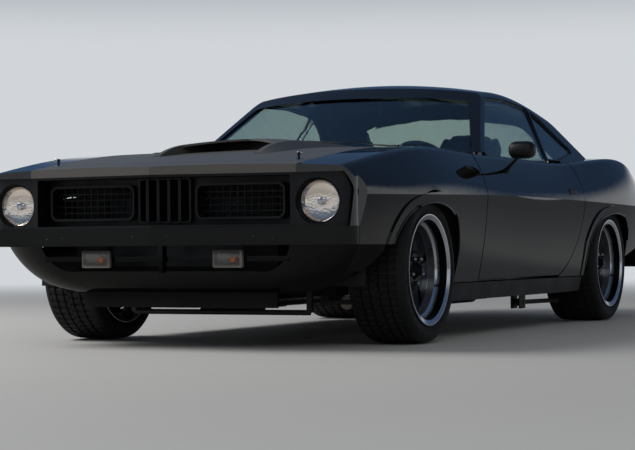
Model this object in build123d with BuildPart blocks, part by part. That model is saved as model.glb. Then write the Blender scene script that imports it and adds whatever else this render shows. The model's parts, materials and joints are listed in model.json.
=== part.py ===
from build123d import *
import math
import os

os.makedirs("parts", exist_ok=True)

# Driving dimensions, mm. X points to the car's left, Y to its tail, Z up from the ground.
LENGTH = 4742
NOSE_Y = -LENGTH / 2
TAIL_Y = LENGTH / 2
WHEELBASE = 2743
FRONT_AXLE_Y = -1471
REAR_AXLE_Y = FRONT_AXLE_Y + WHEELBASE
TYRE_R = 325
LIP_R = 245
WHEEL_X = 772
REAR_TYRE_X = 762
PANEL_GAP = 5
DOOR_FRONT_GAP = 7
LID_REAR_GAP = 8
SKIN = 10
FIT = 0.4
FAR = 3000
OUT_X = 1100
OUT_Y = 2400
ON_BASE = (Align.CENTER, Align.CENTER, Align.MIN)

# Heights and places of the body's parting lines
HEADER_Z = 736
BUMPER_LOW_Z = 439
BUMPER_TOP_Z = 514
SILL_TOP_Z = 262
FLOOR_Z = 205
HOOD_SIDE_X = 645
HOOD_FRONT_Y = -2168
HOOD_REAR_Y = -757
DOOR_FRONT_Y = -775
DOOR_INNER_X = 775
CABIN_X = 764
TRUNK_FRONT_Y = 1575
TRUNK_REAR_Y = 2296
TRUNK_X = 640
PILLAR_SPLIT_Z = 1090

# The body's cross sections: y, then x and z of the rocker's foot, the side crease, the
# shoulder, and the deck's height on the centre line
SECTIONS = [
    {"y": -2420, "foot": (800, 176), "crease": (846, 640), "shoulder": (820, 733), "deck": 758},
    {"y": -2200, "foot": (820, 176), "crease": (886, 644), "shoulder": (848, 772), "deck": 797},
    {"y": -1950, "foot": (836, 176), "crease": (914, 648), "shoulder": (860, 814), "deck": 828},
    {"y": -1471, "foot": (850, 176), "crease": (938, 656), "shoulder": (870, 868), "deck": 876},
    {"y": -800, "foot": (850, 176), "crease": (926, 668), "shoulder": (842, 868), "deck": 910},
    {"y": 0, "foot": (850, 176), "crease": (918, 672), "shoulder": (832, 866), "deck": 884},
    {"y": 700, "foot": (852, 178), "crease": (926, 668), "shoulder": (848, 872), "deck": 894},
    {"y": 1272, "foot": (856, 190), "crease": (944, 660), "shoulder": (874, 914), "deck": 938},
    {"y": 1850, "foot": (842, 220), "crease": (926, 655), "shoulder": (858, 882), "deck": 916},
    {"y": 2420, "foot": (806, 262), "crease": (884, 645), "shoulder": (820, 834), "deck": 872},
]
SIDE_BULGE = 12
SHOULDER_R = 42

# The roof's cross sections: y, the side's foot, the roof rail and the crown's height
ROOF_SECTIONS = [
    {"y": -860, "foot_x": 812, "rail": (690, 1080), "crown": 1128},
    {"y": -190, "foot_x": 812, "rail": (640, 1194), "crown": 1243},
    {"y": 120, "foot_x": 812, "rail": (628, 1222), "crown": 1284},
    {"y": 500, "foot_x": 812, "rail": (634, 1205), "crown": 1274},
    {"y": 870, "foot_x": 812, "rail": (668, 1130), "crown": 1238},
    {"y": 1640, "foot_x": 812, "rail": (770, 925), "crown": 1110},
]
ROOF_FOOT_Z = 858
RAIL_R = 70
ROOF_T = 34


def side_bow(low, high, bow):
    """The point half way from low to high, moved outwards by bow."""
    dx = high[0] - low[0]
    dz = high[1] - low[1]
    span = math.hypot(dx, dz)
    return ((low[0] + high[0]) / 2 + bow * dz / span, (low[1] + high[1]) / 2 - bow * dx / span)


def mirrored(point):
    """The same point on the car's other side."""
    return (-point[0], point[1])


def at_y(y):
    """A cross-section plane at y, with its own x along X and its own y along Z."""
    return Plane.XZ.offset(-y)


def body_face(row, inset):
    """One closed cross section of the lower body, moved in by inset."""
    foot = (row["foot"][0] - inset, row["foot"][1] - 3 * inset)
    crease = (row["crease"][0] - inset, row["crease"][1])
    shoulder = (row["shoulder"][0] - inset, row["shoulder"][1] - inset)
    deck = (0, row["deck"] - inset)
    low = side_bow(foot, crease, SIDE_BULGE)
    high = side_bow(crease, shoulder, SIDE_BULGE)
    with BuildSketch(at_y(row["y"])) as face:
        with BuildLine():
            Line(mirrored(foot), foot)
            ThreePointArc(foot, low, crease)
            ThreePointArc(crease, high, shoulder)
            ThreePointArc(shoulder, deck, mirrored(shoulder))
            ThreePointArc(mirrored(shoulder), mirrored(high), mirrored(crease))
            ThreePointArc(mirrored(crease), mirrored(low), mirrored(foot))
        make_face()
        tops = face.vertices().group_by(Axis.Y)[-1]
        fillet(tops, radius=SHOULDER_R - inset)
    return face.sketch


def roof_face(row, inset):
    """One closed cross section of the greenhouse, moved in by inset."""
    foot = (row["foot_x"] - inset, ROOF_FOOT_Z)
    rail = (row["rail"][0] - inset, row["rail"][1] - inset)
    with BuildSketch(at_y(row["y"])) as face:
        with BuildLine():
            Line(mirrored(foot), foot)
            Line(foot, rail)
            ThreePointArc(rail, (0, row["crown"] - inset), mirrored(rail))
            Line(mirrored(rail), mirrored(foot))
        make_face()
        tops = face.vertices().group_by(Axis.Y)[-1]
        fillet(tops, radius=RAIL_R - inset)
    return face.sketch


with BuildPart() as body_outer:
    loft(sections=[body_face(row, 0) for row in SECTIONS])

with BuildPart() as body_inner:
    loft(sections=[body_face(row, SKIN) for row in SECTIONS])

# A thinner hem, so that the door's front edge swings in behind the fender's rear edge
HEM_T = 4
with BuildPart() as body_hem:
    loft(sections=[body_face(row, HEM_T) for row in SECTIONS])

with BuildPart() as roof_outer:
    loft(sections=[roof_face(row, 0) for row in ROOF_SECTIONS])

with BuildPart() as roof_inner:
    loft(sections=[roof_face(row, ROOF_T) for row in ROOF_SECTIONS])


# The nose and the tail in plan: points on the bumper's line, from the centre outwards
NOSE_PLAN = {"tip": (0, NOSE_Y), "mid": (640, -2284), "lamp": (812, -2276),
             "corner": (862, -2256), "side": (884, -2196), "far": (960, -1960)}
TAIL_PLAN = {"tip": (0, TAIL_Y), "mid": (640, 2356), "lamp": (800, 2344),
             "corner": (858, 2318), "side": (884, 2250), "far": (960, 2000)}


def end_plan(points, shift, sign):
    """Half of the plan outline of the nose or tail, moved inwards by shift, then mirrored."""
    moved = {key: (x - (shift if x > 700 else 0), y + sign * shift) for key, (x, y) in points.items()}
    with BuildSketch(Plane.XY) as face:
        with BuildLine():
            Polyline(moved["tip"], moved["mid"], moved["lamp"])
            ThreePointArc(moved["lamp"], moved["corner"], moved["side"])
            Polyline(moved["side"], moved["far"], (moved["far"][0], 0), (0, 0), moved["tip"])
        make_face()
        mirror(about=Plane.YZ)
    return face.sketch


HEADER_SHIFT = 7
GRILLE_SHIFT = 16
BUMPER_DEPTH = 58

# The whole body within its nose and tail outlines
with BuildPart() as body_hull:
    add(body_outer.part)
    with BuildSketch(Plane.XY):
        add(end_plan(NOSE_PLAN, HEADER_SHIFT, 1))
        add(end_plan(TAIL_PLAN, HEADER_SHIFT, -1))
    extrude(amount=FAR, mode=Mode.INTERSECT)

# The raised lip round the wheel arches stands out by this much
FLARE_RISE = 9
FLARE_WIDE = 44
FLARE_FROM_X = 860
with BuildPart() as flare_hull:
    loft(sections=[body_face(row, -FLARE_RISE) for row in SECTIONS])

# Wheel arch outlines from the side, y and z, as foot, low, bend, high, crown, high, bend, low, foot
FRONT_ARCH = [(-1128, 100), (-1143, 430), (-1216, 541), (-1342, 603), (-1520, 620),
              (-1690, 592), (-1836, 505), (-1897, 400), (-1900, 100)]
REAR_ARCH = [(866, 100), (866, 430), (950, 530), (1110, 590), (1300, 606),
             (1440, 590), (1524, 540), (1556, 440), (1570, 100)]


def arch_face(points, plane):
    """A wheel arch's opening as three arcs between two straight feet."""
    with BuildSketch(plane) as face:
        with BuildLine():
            Line(points[0], points[1])
            ThreePointArc(points[1], points[2], points[3])
            ThreePointArc(points[3], points[4], points[5])
            ThreePointArc(points[5], points[6], points[7])
            Line(points[7], points[8])
            Line(points[8], points[0])
        make_face()
    return face.sketch


def on_x(x):
    """A side-view plane at x, with its own x along Y and its own y along Z."""
    return Plane.YZ.offset(x)


# The arches are cut right through both sides, outboard of the inner fenders
WELL_X = 512
with BuildPart() as arch_cut:
    for arch in (FRONT_ARCH, REAR_ARCH):
        for side in (1, -1):
            extrude(arch_face(arch, on_x(side * WELL_X)), amount=side * 600)

# The round tops of the wheel housings, inside the skin
WELL_R = 352
WELL_SKIN_X = 937
with BuildPart() as well_cut:
    for axle_y in (FRONT_AXLE_Y, REAR_AXLE_Y):
        for side in (1, -1):
            with Locations(Plane(((side * (WELL_X + WELL_SKIN_X) / 2), axle_y, TYRE_R), z_dir=(1, 0, 0))):
                Cylinder(WELL_R, WELL_SKIN_X - WELL_X)

# Door outline from the side: y and z
DOOR_TOP_Z = 930
DOOR_TOP_CLEAR_Z = 886
DOOR_LOW_Z = 267
DOOR_REAR_TOP = (690, DOOR_TOP_Z)
DOOR_REAR_HIP = (752, 655)
DOOR_REAR_BEND = (672, 436)
DOOR_REAR_LOW = (440, DOOR_LOW_Z)


def door_face(plane, grow):
    """The door's outline up to above its top, made larger by grow on every side."""
    with BuildSketch(plane) as face:
        with BuildLine():
            Line((DOOR_FRONT_Y, DOOR_LOW_Z), (DOOR_FRONT_Y, DOOR_TOP_Z))
            Line((DOOR_FRONT_Y, DOOR_TOP_Z), DOOR_REAR_TOP)
            ThreePointArc(DOOR_REAR_TOP, (736, 796), DOOR_REAR_HIP)
            ThreePointArc(DOOR_REAR_HIP, DOOR_REAR_BEND, DOOR_REAR_LOW)
            Line(DOOR_REAR_LOW, (DOOR_FRONT_Y, DOOR_LOW_Z))
        make_face()
        if grow:
            offset(amount=grow, kind=Kind.INTERSECTION)
    return face.sketch


# Side window outlines: y and z
DOOR_GLASS = [(-486, 866), (-42, 1182), (250, 1188), (590, 1164), (480, 860)]
QUARTER_GLASS = [(513, 888), (612, 1156), (738, 1113), (925, 1012), (1062, 946), (700, 888)]
GLASS_ROUND = 16


def window_face(points, plane, grow):
    """A side window's outline with small round corners, made larger by grow."""
    with BuildSketch(plane) as face:
        with BuildLine():
            Polyline(*points, close=True)
        make_face()
        fillet(face.vertices(), radius=GLASS_ROUND)
        if grow:
            offset(amount=grow)
    return face.sketch


def block(x, y, z, mode=Mode.ADD):
    """A box between two limits on each axis."""
    with Locations(((x[0] + x[1]) / 2, (y[0] + y[1]) / 2, (z[0] + z[1]) / 2)):
        Box(x[1] - x[0], y[1] - y[0], z[1] - z[0], mode=mode)


def across(side, x):
    """The two x limits of a box on the given side of the car, in rising order."""
    return sorted((side * x[0], side * x[1]))


# The windscreen and the rear window lie on slanted arcs: centre of the top edge, rise per run, radius
SCREEN_TOP = (-190, 1238)
SCREEN_SLOPE = 0.5658
SCREEN_R = 1240
REAR_TOP = (870, 1238)
REAR_SLOPE = 0.4406
REAR_R = 1050
GLASS_LOW_Z = 800
GLASS_HIGH_Z = 1330


def glass_cut(top, slope, radius, sign, shift):
    """The space outside a slanted window, as a plan sketch with its sweep direction and length."""
    low_y = top[0] + sign * (top[1] - GLASS_LOW_Z) / slope - sign * shift / math.sin(math.atan(slope))
    with BuildSketch(Plane.XY.offset(GLASS_LOW_Z)) as face:
        with BuildLine():
            sag = radius - math.sqrt(radius ** 2 - 900 ** 2)
            ThreePointArc((-900, low_y - sign * sag), (0, low_y), (900, low_y - sign * sag))
            Polyline((900, low_y - sign * sag), (900, low_y + sign * 1500), (-900, low_y + sign * 1500),
                     (-900, low_y - sign * sag))
        make_face()
    run = (GLASS_HIGH_Z - GLASS_LOW_Z) / slope
    rise = GLASS_HIGH_Z - GLASS_LOW_Z
    return face.sketch, Vector(0, -sign * run, rise)


def glass_space(top, slope, radius, sign, shift):
    """The solid outside a slanted window, moved inwards by shift."""
    face, sweep = glass_cut(top, slope, radius, sign, shift)
    return extrude(face, amount=sweep.length, dir=sweep.normalized(), mode=Mode.PRIVATE)


SCREEN_CUT = glass_space(SCREEN_TOP, SCREEN_SLOPE, SCREEN_R, -1, 0)
REAR_CUT = glass_space(REAR_TOP, REAR_SLOPE, REAR_R, 1, 0)
PANE_SINK = 9
PANE_T = 6

# The greenhouse as a closed form, and its inside
with BuildPart() as green_outer:
    add(roof_outer.part)
    add(SCREEN_CUT, mode=Mode.SUBTRACT)
    add(REAR_CUT, mode=Mode.SUBTRACT)

with BuildPart() as green_inner:
    add(roof_inner.part)
    add(glass_space(REAR_TOP, REAR_SLOPE, REAR_R, 1, ROOF_T), mode=Mode.SUBTRACT)

# The rear window's opening in plan of its slope: half widths at the foot and the top
REAR_OPEN = {"low_x": 598, "low_z": 962, "high_x": 478, "high_z": 1186}
with BuildPart() as rear_open:
    low_y = REAR_TOP[0] + (REAR_TOP[1] - REAR_OPEN["low_z"]) / REAR_SLOPE
    high_y = REAR_TOP[0] + (REAR_TOP[1] - REAR_OPEN["high_z"]) / REAR_SLOPE
    with BuildSketch(Plane.XY.offset(GLASS_LOW_Z)) as rear_open_face:
        with BuildLine():
            Polyline((-REAR_OPEN["low_x"], low_y), (REAR_OPEN["low_x"], low_y),
                     (REAR_OPEN["high_x"], high_y), (-REAR_OPEN["high_x"], high_y), close=True)
        make_face()
        fillet(rear_open_face.vertices(), radius=50)
    extrude(amount=GLASS_HIGH_Z - GLASS_LOW_Z)

with BuildPart() as side_windows:
    for side in (1, -1):
        extrude(window_face(DOOR_GLASS, on_x(side * 400), 6), amount=side * 500)
        extrude(window_face(QUARTER_GLASS, on_x(side * 400), 1), amount=side * 500)

# What the door needs clear of the body: its own outline, up to just over its top
with BuildPart() as door_space:
    for side in (1, -1):
        extrude(door_face(on_x(side * 768), PANEL_GAP), amount=side * 300)
    block((-OUT_X, OUT_X), (-1000, 1000), (0, DOOR_TOP_CLEAR_Z), mode=Mode.INTERSECT)

with BuildPart() as green_shell:
    add(green_outer.part)
    add(green_inner.part, mode=Mode.SUBTRACT)
    add(side_windows.part, mode=Mode.SUBTRACT)
    add(rear_open.part, mode=Mode.SUBTRACT)
    add(door_space.part, mode=Mode.SUBTRACT)


def save(part, label):
    """Label a finished part and write its STEP file."""
    part.label = label
    export_step(part, "parts/" + label + ".step")


# The floor's tunnel: half width, the springing of its round top, and its wall
TUNNEL_R = 130
TUNNEL_SIDE_Z = 285
TUNNEL_WALL = 10


def tunnel_face(plane, inset):
    """The tunnel's cross section from below the floor to its round top, moved in by inset."""
    radius = TUNNEL_R - inset
    with BuildSketch(plane) as face:
        with BuildLine():
            Polyline((-radius, TUNNEL_SIDE_Z), (-radius, 0), (radius, 0), (radius, TUNNEL_SIDE_Z))
            ThreePointArc((radius, TUNNEL_SIDE_Z), (0, TUNNEL_SIDE_Z + radius), (-radius, TUNNEL_SIDE_Z))
        make_face()
    return face.sketch


# Hood outline in plan: half width and the front and rear edges, bowed forwards at the middle
HOOD_FRONT_MID_Y = -2244
HOOD_REAR_MID_Y = -862


def hood_plan(grow):
    """The hood's outline in plan, made larger by grow."""
    with BuildSketch(Plane.XY) as face:
        with BuildLine():
            Line((-HOOD_SIDE_X, HOOD_FRONT_Y), (0, HOOD_FRONT_MID_Y))
            Line((0, HOOD_FRONT_MID_Y), (HOOD_SIDE_X, HOOD_FRONT_Y))
            Line((HOOD_SIDE_X, HOOD_FRONT_Y), (HOOD_SIDE_X, HOOD_REAR_Y))
            ThreePointArc((HOOD_SIDE_X, HOOD_REAR_Y), (0, HOOD_REAR_MID_Y), (-HOOD_SIDE_X, HOOD_REAR_Y))
            Line((-HOOD_SIDE_X, HOOD_REAR_Y), (-HOOD_SIDE_X, HOOD_FRONT_Y))
        make_face()
        if grow:
            offset(amount=grow, kind=Kind.INTERSECTION)
    return face.sketch


# Hood scoop: y, half widths at foot and top, and heights at side and middle
SCOOP = [{"y": -1850, "foot": 330, "top_x": 262, "side_z": 843, "top_z": 846},
         {"y": -1640, "foot": 336, "top_x": 256, "side_z": 898, "top_z": 907},
         {"y": -1430, "foot": 342, "top_x": 256, "side_z": 914, "top_z": 930},
         {"y": -1100, "foot": 356, "top_x": 268, "side_z": 914, "top_z": 931},
         {"y": -780, "foot": 372, "top_x": 280, "side_z": 906, "top_z": 924}]
SCOOP_FOOT_Z = 826
SCOOP_WALL = 9
SCOOP_MOUTH_X = 236
SCOOP_LIP_MID_Y = -1436
SCOOP_LIP_SIDE_Y = -1650
SCOOP_BACK_Y = -1290


def scoop_face(row, inset):
    """One cross section of the hood scoop, moved in by inset."""
    with BuildSketch(at_y(row["y"])) as face:
        with BuildLine():
            foot = (row["foot"] - inset, SCOOP_FOOT_Z)
            top = (row["top_x"] - inset, row["side_z"] - inset)
            Line(mirrored(foot), foot)
            Line(foot, top)
            ThreePointArc(top, (0, row["top_z"] - inset), mirrored(top))
            Line(mirrored(top), mirrored(foot))
        make_face()
    return face.sketch


with BuildPart() as skin:
    add(body_hull.part)
    add(body_inner.part, mode=Mode.SUBTRACT)

# The header's front lip, 16 mm deep, follows the nose in plan
LIP_DEPTH = 16
with BuildPart() as header_lip:
    add(body_hull.part)
    extrude(end_plan(NOSE_PLAN, HEADER_SHIFT + LIP_DEPTH, 1), amount=FAR, mode=Mode.SUBTRACT)
    block((-1000, 1000), (-OUT_Y, -2100), (HEADER_Z, 800), mode=Mode.INTERSECT)

with BuildPart() as flares:
    add(flare_hull.part)
    add(body_inner.part, mode=Mode.SUBTRACT)
    with BuildSketch(on_x(FLARE_FROM_X)):
        for arch in (FRONT_ARCH, REAR_ARCH):
            add(arch_face(arch, Plane.XY))
        offset(amount=FLARE_WIDE)
    extrude(amount=200, mode=Mode.INTERSECT)

# The scoop's inside: an air space behind a lip that is swept back at the middle
with BuildPart() as scoop_air:
    loft(sections=[scoop_face(row, SCOOP_WALL) for row in SCOOP])
    with BuildSketch(Plane.XY):
        Polygon((-SCOOP_MOUTH_X, -1860), (SCOOP_MOUTH_X, -1860), (SCOOP_MOUTH_X, SCOOP_LIP_SIDE_Y),
                (0, SCOOP_LIP_MID_Y), (-SCOOP_MOUTH_X, SCOOP_LIP_SIDE_Y), align=None)
    extrude(amount=960)
    block((-SCOOP_MOUTH_X, SCOOP_MOUTH_X), (-1900, SCOOP_BACK_Y), (700, 960), mode=Mode.INTERSECT)
    add(body_outer.part, mode=Mode.SUBTRACT)

# Four hood pins stand on shelves and pass through the hood: x, y, the shelf's top and the pin's tip
SUPPORT_TOP_Z = 720
PIN_STANDS = [{"x": 587, "y": -2138, "shelf": SUPPORT_TOP_Z, "tip": 826},
              {"x": 604, "y": -1107, "shelf": 712, "tip": 902}]
PIN_R = 6
PIN_COLLAR_R = 10
HOOD_REST_GAP = 0.3
with BuildPart() as hood:
    loft(sections=[scoop_face(row, 0) for row in SCOOP])
    add(body_outer.part, mode=Mode.SUBTRACT)
    add(skin.part)
    extrude(hood_plan(0), amount=FAR, mode=Mode.INTERSECT)
    block((-900, 900), (-OUT_Y, 0), (0, 700), mode=Mode.SUBTRACT)
    add(scoop_air.part, mode=Mode.SUBTRACT)
    with BuildSketch(Plane.XY):
        for row in PIN_STANDS:
            with Locations((row["x"], row["y"]), (-row["x"], row["y"])):
                Circle(PIN_R + FIT)
    extrude(amount=FAR, mode=Mode.SUBTRACT)
save(hood.part, "hood")

HEADER_X = 640
with BuildPart() as header_panel:
    add(skin.part)
    add(header_lip.part)
    block((-HEADER_X, HEADER_X), (-OUT_Y, -2100), (HEADER_Z, 900), mode=Mode.INTERSECT)
    extrude(hood_plan(PANEL_GAP), amount=FAR, mode=Mode.SUBTRACT)
save(header_panel.part, "header_panel")

# Front fender: skin, arch lip and the tip over the lamp
FENDER_LOW_Z = 439
FENDER_REAR_Y = DOOR_FRONT_Y - DOOR_FRONT_GAP
BUMPER_REAR_Y = -2190
HEM_LENGTH = 18
with BuildPart() as fender_hem_cut:
    add(body_hem.part)
    block((HEADER_X, OUT_X), (FENDER_REAR_Y - HEM_LENGTH, 0), (SILL_TOP_Z, 1000), mode=Mode.INTERSECT)

with BuildPart() as front_fender_left:
    add(skin.part)
    add(header_lip.part)
    block((HEADER_X, OUT_X), (-OUT_Y, FENDER_REAR_Y), (SILL_TOP_Z, 1000), mode=Mode.INTERSECT)
    extrude(hood_plan(PANEL_GAP), amount=FAR, mode=Mode.SUBTRACT)
    add(flares.part)
    block((HEADER_X, OUT_X), (-OUT_Y, FENDER_REAR_Y), (SILL_TOP_Z, 1000), mode=Mode.INTERSECT)
    add(arch_cut.part, mode=Mode.SUBTRACT)
    add(well_cut.part, mode=Mode.SUBTRACT)
    block((600, OUT_X), (-OUT_Y, FRONT_AXLE_Y), (0, FENDER_LOW_Z), mode=Mode.SUBTRACT)
    block((600, OUT_X), (-OUT_Y, BUMPER_REAR_Y), (0, BUMPER_TOP_Z + 1), mode=Mode.SUBTRACT)
    add(fender_hem_cut.part, mode=Mode.SUBTRACT)
save(front_fender_left.part, "front_fender_left")

with BuildPart() as front_fender_right:
    mirror(front_fender_left.part, about=Plane.YZ)
save(front_fender_right.part, "front_fender_right")

# Quarter panel: skin from the door to the tail, its thick front wall and the sail below the roof
QUARTER_X = 645
QUARTER_FRONT_Y = 380
WALL_END_Y = 930
SAIL_FRONT_Y = 488
with BuildPart() as quarter_wall:
    add(body_hull.part)
    block((DOOR_INNER_X, OUT_X), (QUARTER_FRONT_Y, WALL_END_Y), (SILL_TOP_Z, 1000), mode=Mode.INTERSECT)

with BuildPart() as deck_core:
    add(body_outer.part)
    block((0, QUARTER_X), (SAIL_FRONT_Y, 1700), (800, 1000), mode=Mode.INTERSECT)

with BuildPart() as sail:
    add(green_shell.part)
    block((0, 1000), (SAIL_FRONT_Y, 1700), (800, PILLAR_SPLIT_Z), mode=Mode.INTERSECT)
    add(deck_core.part, mode=Mode.SUBTRACT)

# The rear wheel's housing, a round shell from the inner wall to the skin
HOUSE_WALL = 8
AXLE_ROOM = 90
with BuildPart() as rear_house:
    with Locations(Plane((WELL_X - HOUSE_WALL, REAR_AXLE_Y, TYRE_R), z_dir=(1, 0, 0))):
        Cylinder(WELL_R + HOUSE_WALL, 420, align=ON_BASE)
    add(body_inner.part, mode=Mode.INTERSECT)
    block((0, 1000), (0, 2000), (0, SILL_TOP_Z), mode=Mode.SUBTRACT)
    block((0, WELL_X + 2), (REAR_AXLE_Y - AXLE_ROOM, REAR_AXLE_Y + AXLE_ROOM), (0, TYRE_R + AXLE_ROOM),
          mode=Mode.SUBTRACT)

# The quarter's lower edge rises behind the rear wheel, y and z
QUARTER_HEM = [(1500, 0), (1500, 338), (2186, 470), (2186, BUMPER_TOP_Z + 1), (2450, BUMPER_TOP_Z + 1),
               (2450, 0)]
with BuildPart() as quarter_left:
    add(skin.part)
    block((QUARTER_X, OUT_X), (QUARTER_FRONT_Y, OUT_Y), (SILL_TOP_Z, 1000), mode=Mode.INTERSECT)
    add(quarter_wall.part)
    add(flares.part)
    block((QUARTER_X, OUT_X), (QUARTER_FRONT_Y, OUT_Y), (SILL_TOP_Z, 1000), mode=Mode.INTERSECT)
    add(sail.part)
    add(rear_house.part)
    add(door_space.part, mode=Mode.SUBTRACT)
    block((600, 768), (0, 760), (0, DOOR_TOP_CLEAR_Z), mode=Mode.SUBTRACT)
    add(arch_cut.part, mode=Mode.SUBTRACT)
    add(well_cut.part, mode=Mode.SUBTRACT)
    with BuildSketch(on_x(500)):
        with BuildLine():
            Polyline(*QUARTER_HEM, close=True)
        make_face()
    extrude(amount=600, mode=Mode.SUBTRACT)
save(quarter_left.part, "quarter_left")

with BuildPart() as quarter_right:
    mirror(quarter_left.part, about=Plane.YZ)
save(quarter_right.part, "quarter_right")

# Roof with its windscreen pillars, down to the pillars' feet on the cowl
FOOT_SPLIT_Z = 905
with BuildPart() as roof_rear:
    add(green_shell.part)
    block((-1000, 1000), (SAIL_FRONT_Y, 1700), (PILLAR_SPLIT_Z, 1400), mode=Mode.INTERSECT)

with BuildPart() as roof:
    add(green_shell.part)
    block((-1000, 1000), (-900, SAIL_FRONT_Y), (FOOT_SPLIT_Z, 1400), mode=Mode.INTERSECT)
    add(roof_rear.part)
save(roof.part, "roof")

# Cowl under the windscreen with the firewall and the pillars' feet
COWL_REAR_Y = -470
FIREWALL_Y = -735
FIREWALL_T = 12
FOOT_X = (738, 768)
FOOT_Y = (-610, -430)
with BuildPart() as foot_blocks:
    add(green_outer.part)
    block((-FOOT_X[1], FOOT_X[1]), FOOT_Y, (ROOF_FOOT_Z, FOOT_SPLIT_Z), mode=Mode.INTERSECT)
    block((-FOOT_X[0], FOOT_X[0]), FOOT_Y, (0, FAR), mode=Mode.SUBTRACT)

with BuildPart() as pillar_feet:
    add(green_shell.part)
    block((-1000, 1000), (-900, -200), (840, FOOT_SPLIT_Z), mode=Mode.INTERSECT)
    add(foot_blocks.part)

# The door's two hinges: the pins' place in plan, and the z limits of the pocket round each
DOOR_HINGE = (880, -700)
HINGE_Z = [(405, 465), (660, 720)]
DOOR_CORNER_R = 108
PIN_HINGE_R = 5
BARREL_R = 10
STRAP_T = 18
POCKET_GAP = 2

# Hinge posts in front of the doors, with a strap and a barrel for each pin
POST_X = (724, CABIN_X)
POST_Y = (FIREWALL_Y, -650)
POST_TOP_Z = 860
with BuildPart() as hinge_posts:
    for side in (1, -1):
        block(across(side, POST_X), POST_Y, (SILL_TOP_Z - PANEL_GAP, POST_TOP_Z))
        for low_z, high_z in HINGE_Z:
            middle = (side * DOOR_HINGE[0], DOOR_HINGE[1], (low_z + high_z) / 2)
            height = high_z - low_z - 2 * POCKET_GAP
            block(across(side, (POST_X[1] - 1, DOOR_HINGE[0])),
                  (DOOR_HINGE[1] - STRAP_T / 2, DOOR_HINGE[1] + STRAP_T / 2),
                  (low_z + POCKET_GAP, high_z - POCKET_GAP))
            with Locations(middle):
                Cylinder(BARREL_R, height)
                Cylinder(PIN_HINGE_R + 0.3, height, mode=Mode.SUBTRACT)

with BuildPart() as cowl_top:
    add(skin.part)
    block((-CABIN_X, CABIN_X), (-900, COWL_REAR_Y), (800, 1000), mode=Mode.INTERSECT)
    extrude(hood_plan(PANEL_GAP), amount=FAR, mode=Mode.SUBTRACT)
    block((-1000, 1000), (-1000, DOOR_FRONT_Y), (0, 1400), mode=Mode.SUBTRACT)
    add(pillar_feet.part)

with BuildPart() as cowl:
    add(body_inner.part)
    block((-CABIN_X, CABIN_X), (FIREWALL_Y, FIREWALL_Y + FIREWALL_T), (FLOOR_Z, 1000), mode=Mode.INTERSECT)
    extrude(tunnel_face(Plane.XZ, 0), amount=FAR, mode=Mode.SUBTRACT)
    add(cowl_top.part)
    add(hinge_posts.part)
save(cowl.part, "cowl")

# Rear deck between the rear window and the trunk lid, with two lugs for the lid's hinge pins.
# The lid's front edge is rolled round the hinge line, which runs inside the skin at the middle.
REAR_DECK_FRONT_Y = 1040
LID_EDGE_R = 8.5
LID_AXIS_Y = TRUNK_FRONT_Y + LID_EDGE_R
LID_AXIS_Z = 932.9
LUG_X = 150
LUG_HALF = 10
LUG_R = 7
LUG_SLOT_GAP = 1
LID_PIN_R = 3


def on_lid_axis(x):
    """A plane on the lid's hinge line at x, facing along X."""
    return Plane((x, LID_AXIS_Y, LID_AXIS_Z), x_dir=(0, 1, 0), z_dir=(1, 0, 0))


with BuildPart() as rear_deck:
    add(skin.part)
    block((-QUARTER_X, QUARTER_X), (REAR_DECK_FRONT_Y, TRUNK_FRONT_Y - PANEL_GAP), (800, 1000),
          mode=Mode.INTERSECT)
    for side in (1, -1):
        block((side * LUG_X - LUG_HALF, side * LUG_X + LUG_HALF), (TRUNK_FRONT_Y - 15, LID_AXIS_Y),
              (LID_AXIS_Z - LUG_R, LID_AXIS_Z + LUG_R - 2))
        with Locations(on_lid_axis(side * LUG_X)):
            Cylinder(LUG_R, 2 * LUG_HALF)
            Cylinder(LID_PIN_R + 0.3, 2 * LUG_HALF, mode=Mode.SUBTRACT)
save(rear_deck.part, "rear_deck")

with BuildPart() as lid_front_cut:
    block((-900, 900), (TRUNK_FRONT_Y - 5, LID_AXIS_Y), (LID_AXIS_Z, 1000))
    with Locations(on_lid_axis(0)):
        Cylinder(LID_EDGE_R, 1800, mode=Mode.SUBTRACT)

with BuildPart() as trunk_lid:
    add(skin.part)
    block((-TRUNK_X, TRUNK_X), (TRUNK_FRONT_Y, TRUNK_REAR_Y), (750, 1000), mode=Mode.INTERSECT)
    add(lid_front_cut.part, mode=Mode.SUBTRACT)
    for side in (1, -1):
        block((side * LUG_X - LUG_HALF - LUG_SLOT_GAP, side * LUG_X + LUG_HALF + LUG_SLOT_GAP),
              (TRUNK_FRONT_Y - 5, LID_AXIS_Y + LID_EDGE_R), (900, 1000), mode=Mode.SUBTRACT)
        with Locations(on_lid_axis(side * LUG_X)):
            Cylinder(LID_PIN_R, 2 * (LUG_HALF + LUG_SLOT_GAP) + 10)
save(trunk_lid.part, "trunk_lid")

# Tail panel across the back, with the strip of deck behind the lid and two lamp recesses
TAIL_SHIFT = HEADER_SHIFT + 8
TAIL_T = 40
LAMP_BACK_Y = 2330
TAIL_LAMP_Z = (640, 770)
TAIL_LAMP_X = (330, 720)
with BuildPart() as tail_band:
    add(body_inner.part)
    extrude(end_plan(TAIL_PLAN, TAIL_SHIFT, -1), amount=FAR, mode=Mode.INTERSECT)
    extrude(end_plan(TAIL_PLAN, TAIL_SHIFT + TAIL_T, -1), amount=FAR, mode=Mode.SUBTRACT)
    block((-1000, 1000), (2000, OUT_Y), (BUMPER_TOP_Z, 1000), mode=Mode.INTERSECT)

with BuildPart() as tail_panel:
    add(skin.part)
    block((-QUARTER_X, QUARTER_X), (TRUNK_REAR_Y + LID_REAR_GAP, OUT_Y), (780, 1000), mode=Mode.INTERSECT)
    add(tail_band.part)
    for side in (1, -1):
        block(across(side, TAIL_LAMP_X), (LAMP_BACK_Y, OUT_Y), TAIL_LAMP_Z, mode=Mode.SUBTRACT)
save(tail_panel.part, "tail_panel")

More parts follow.
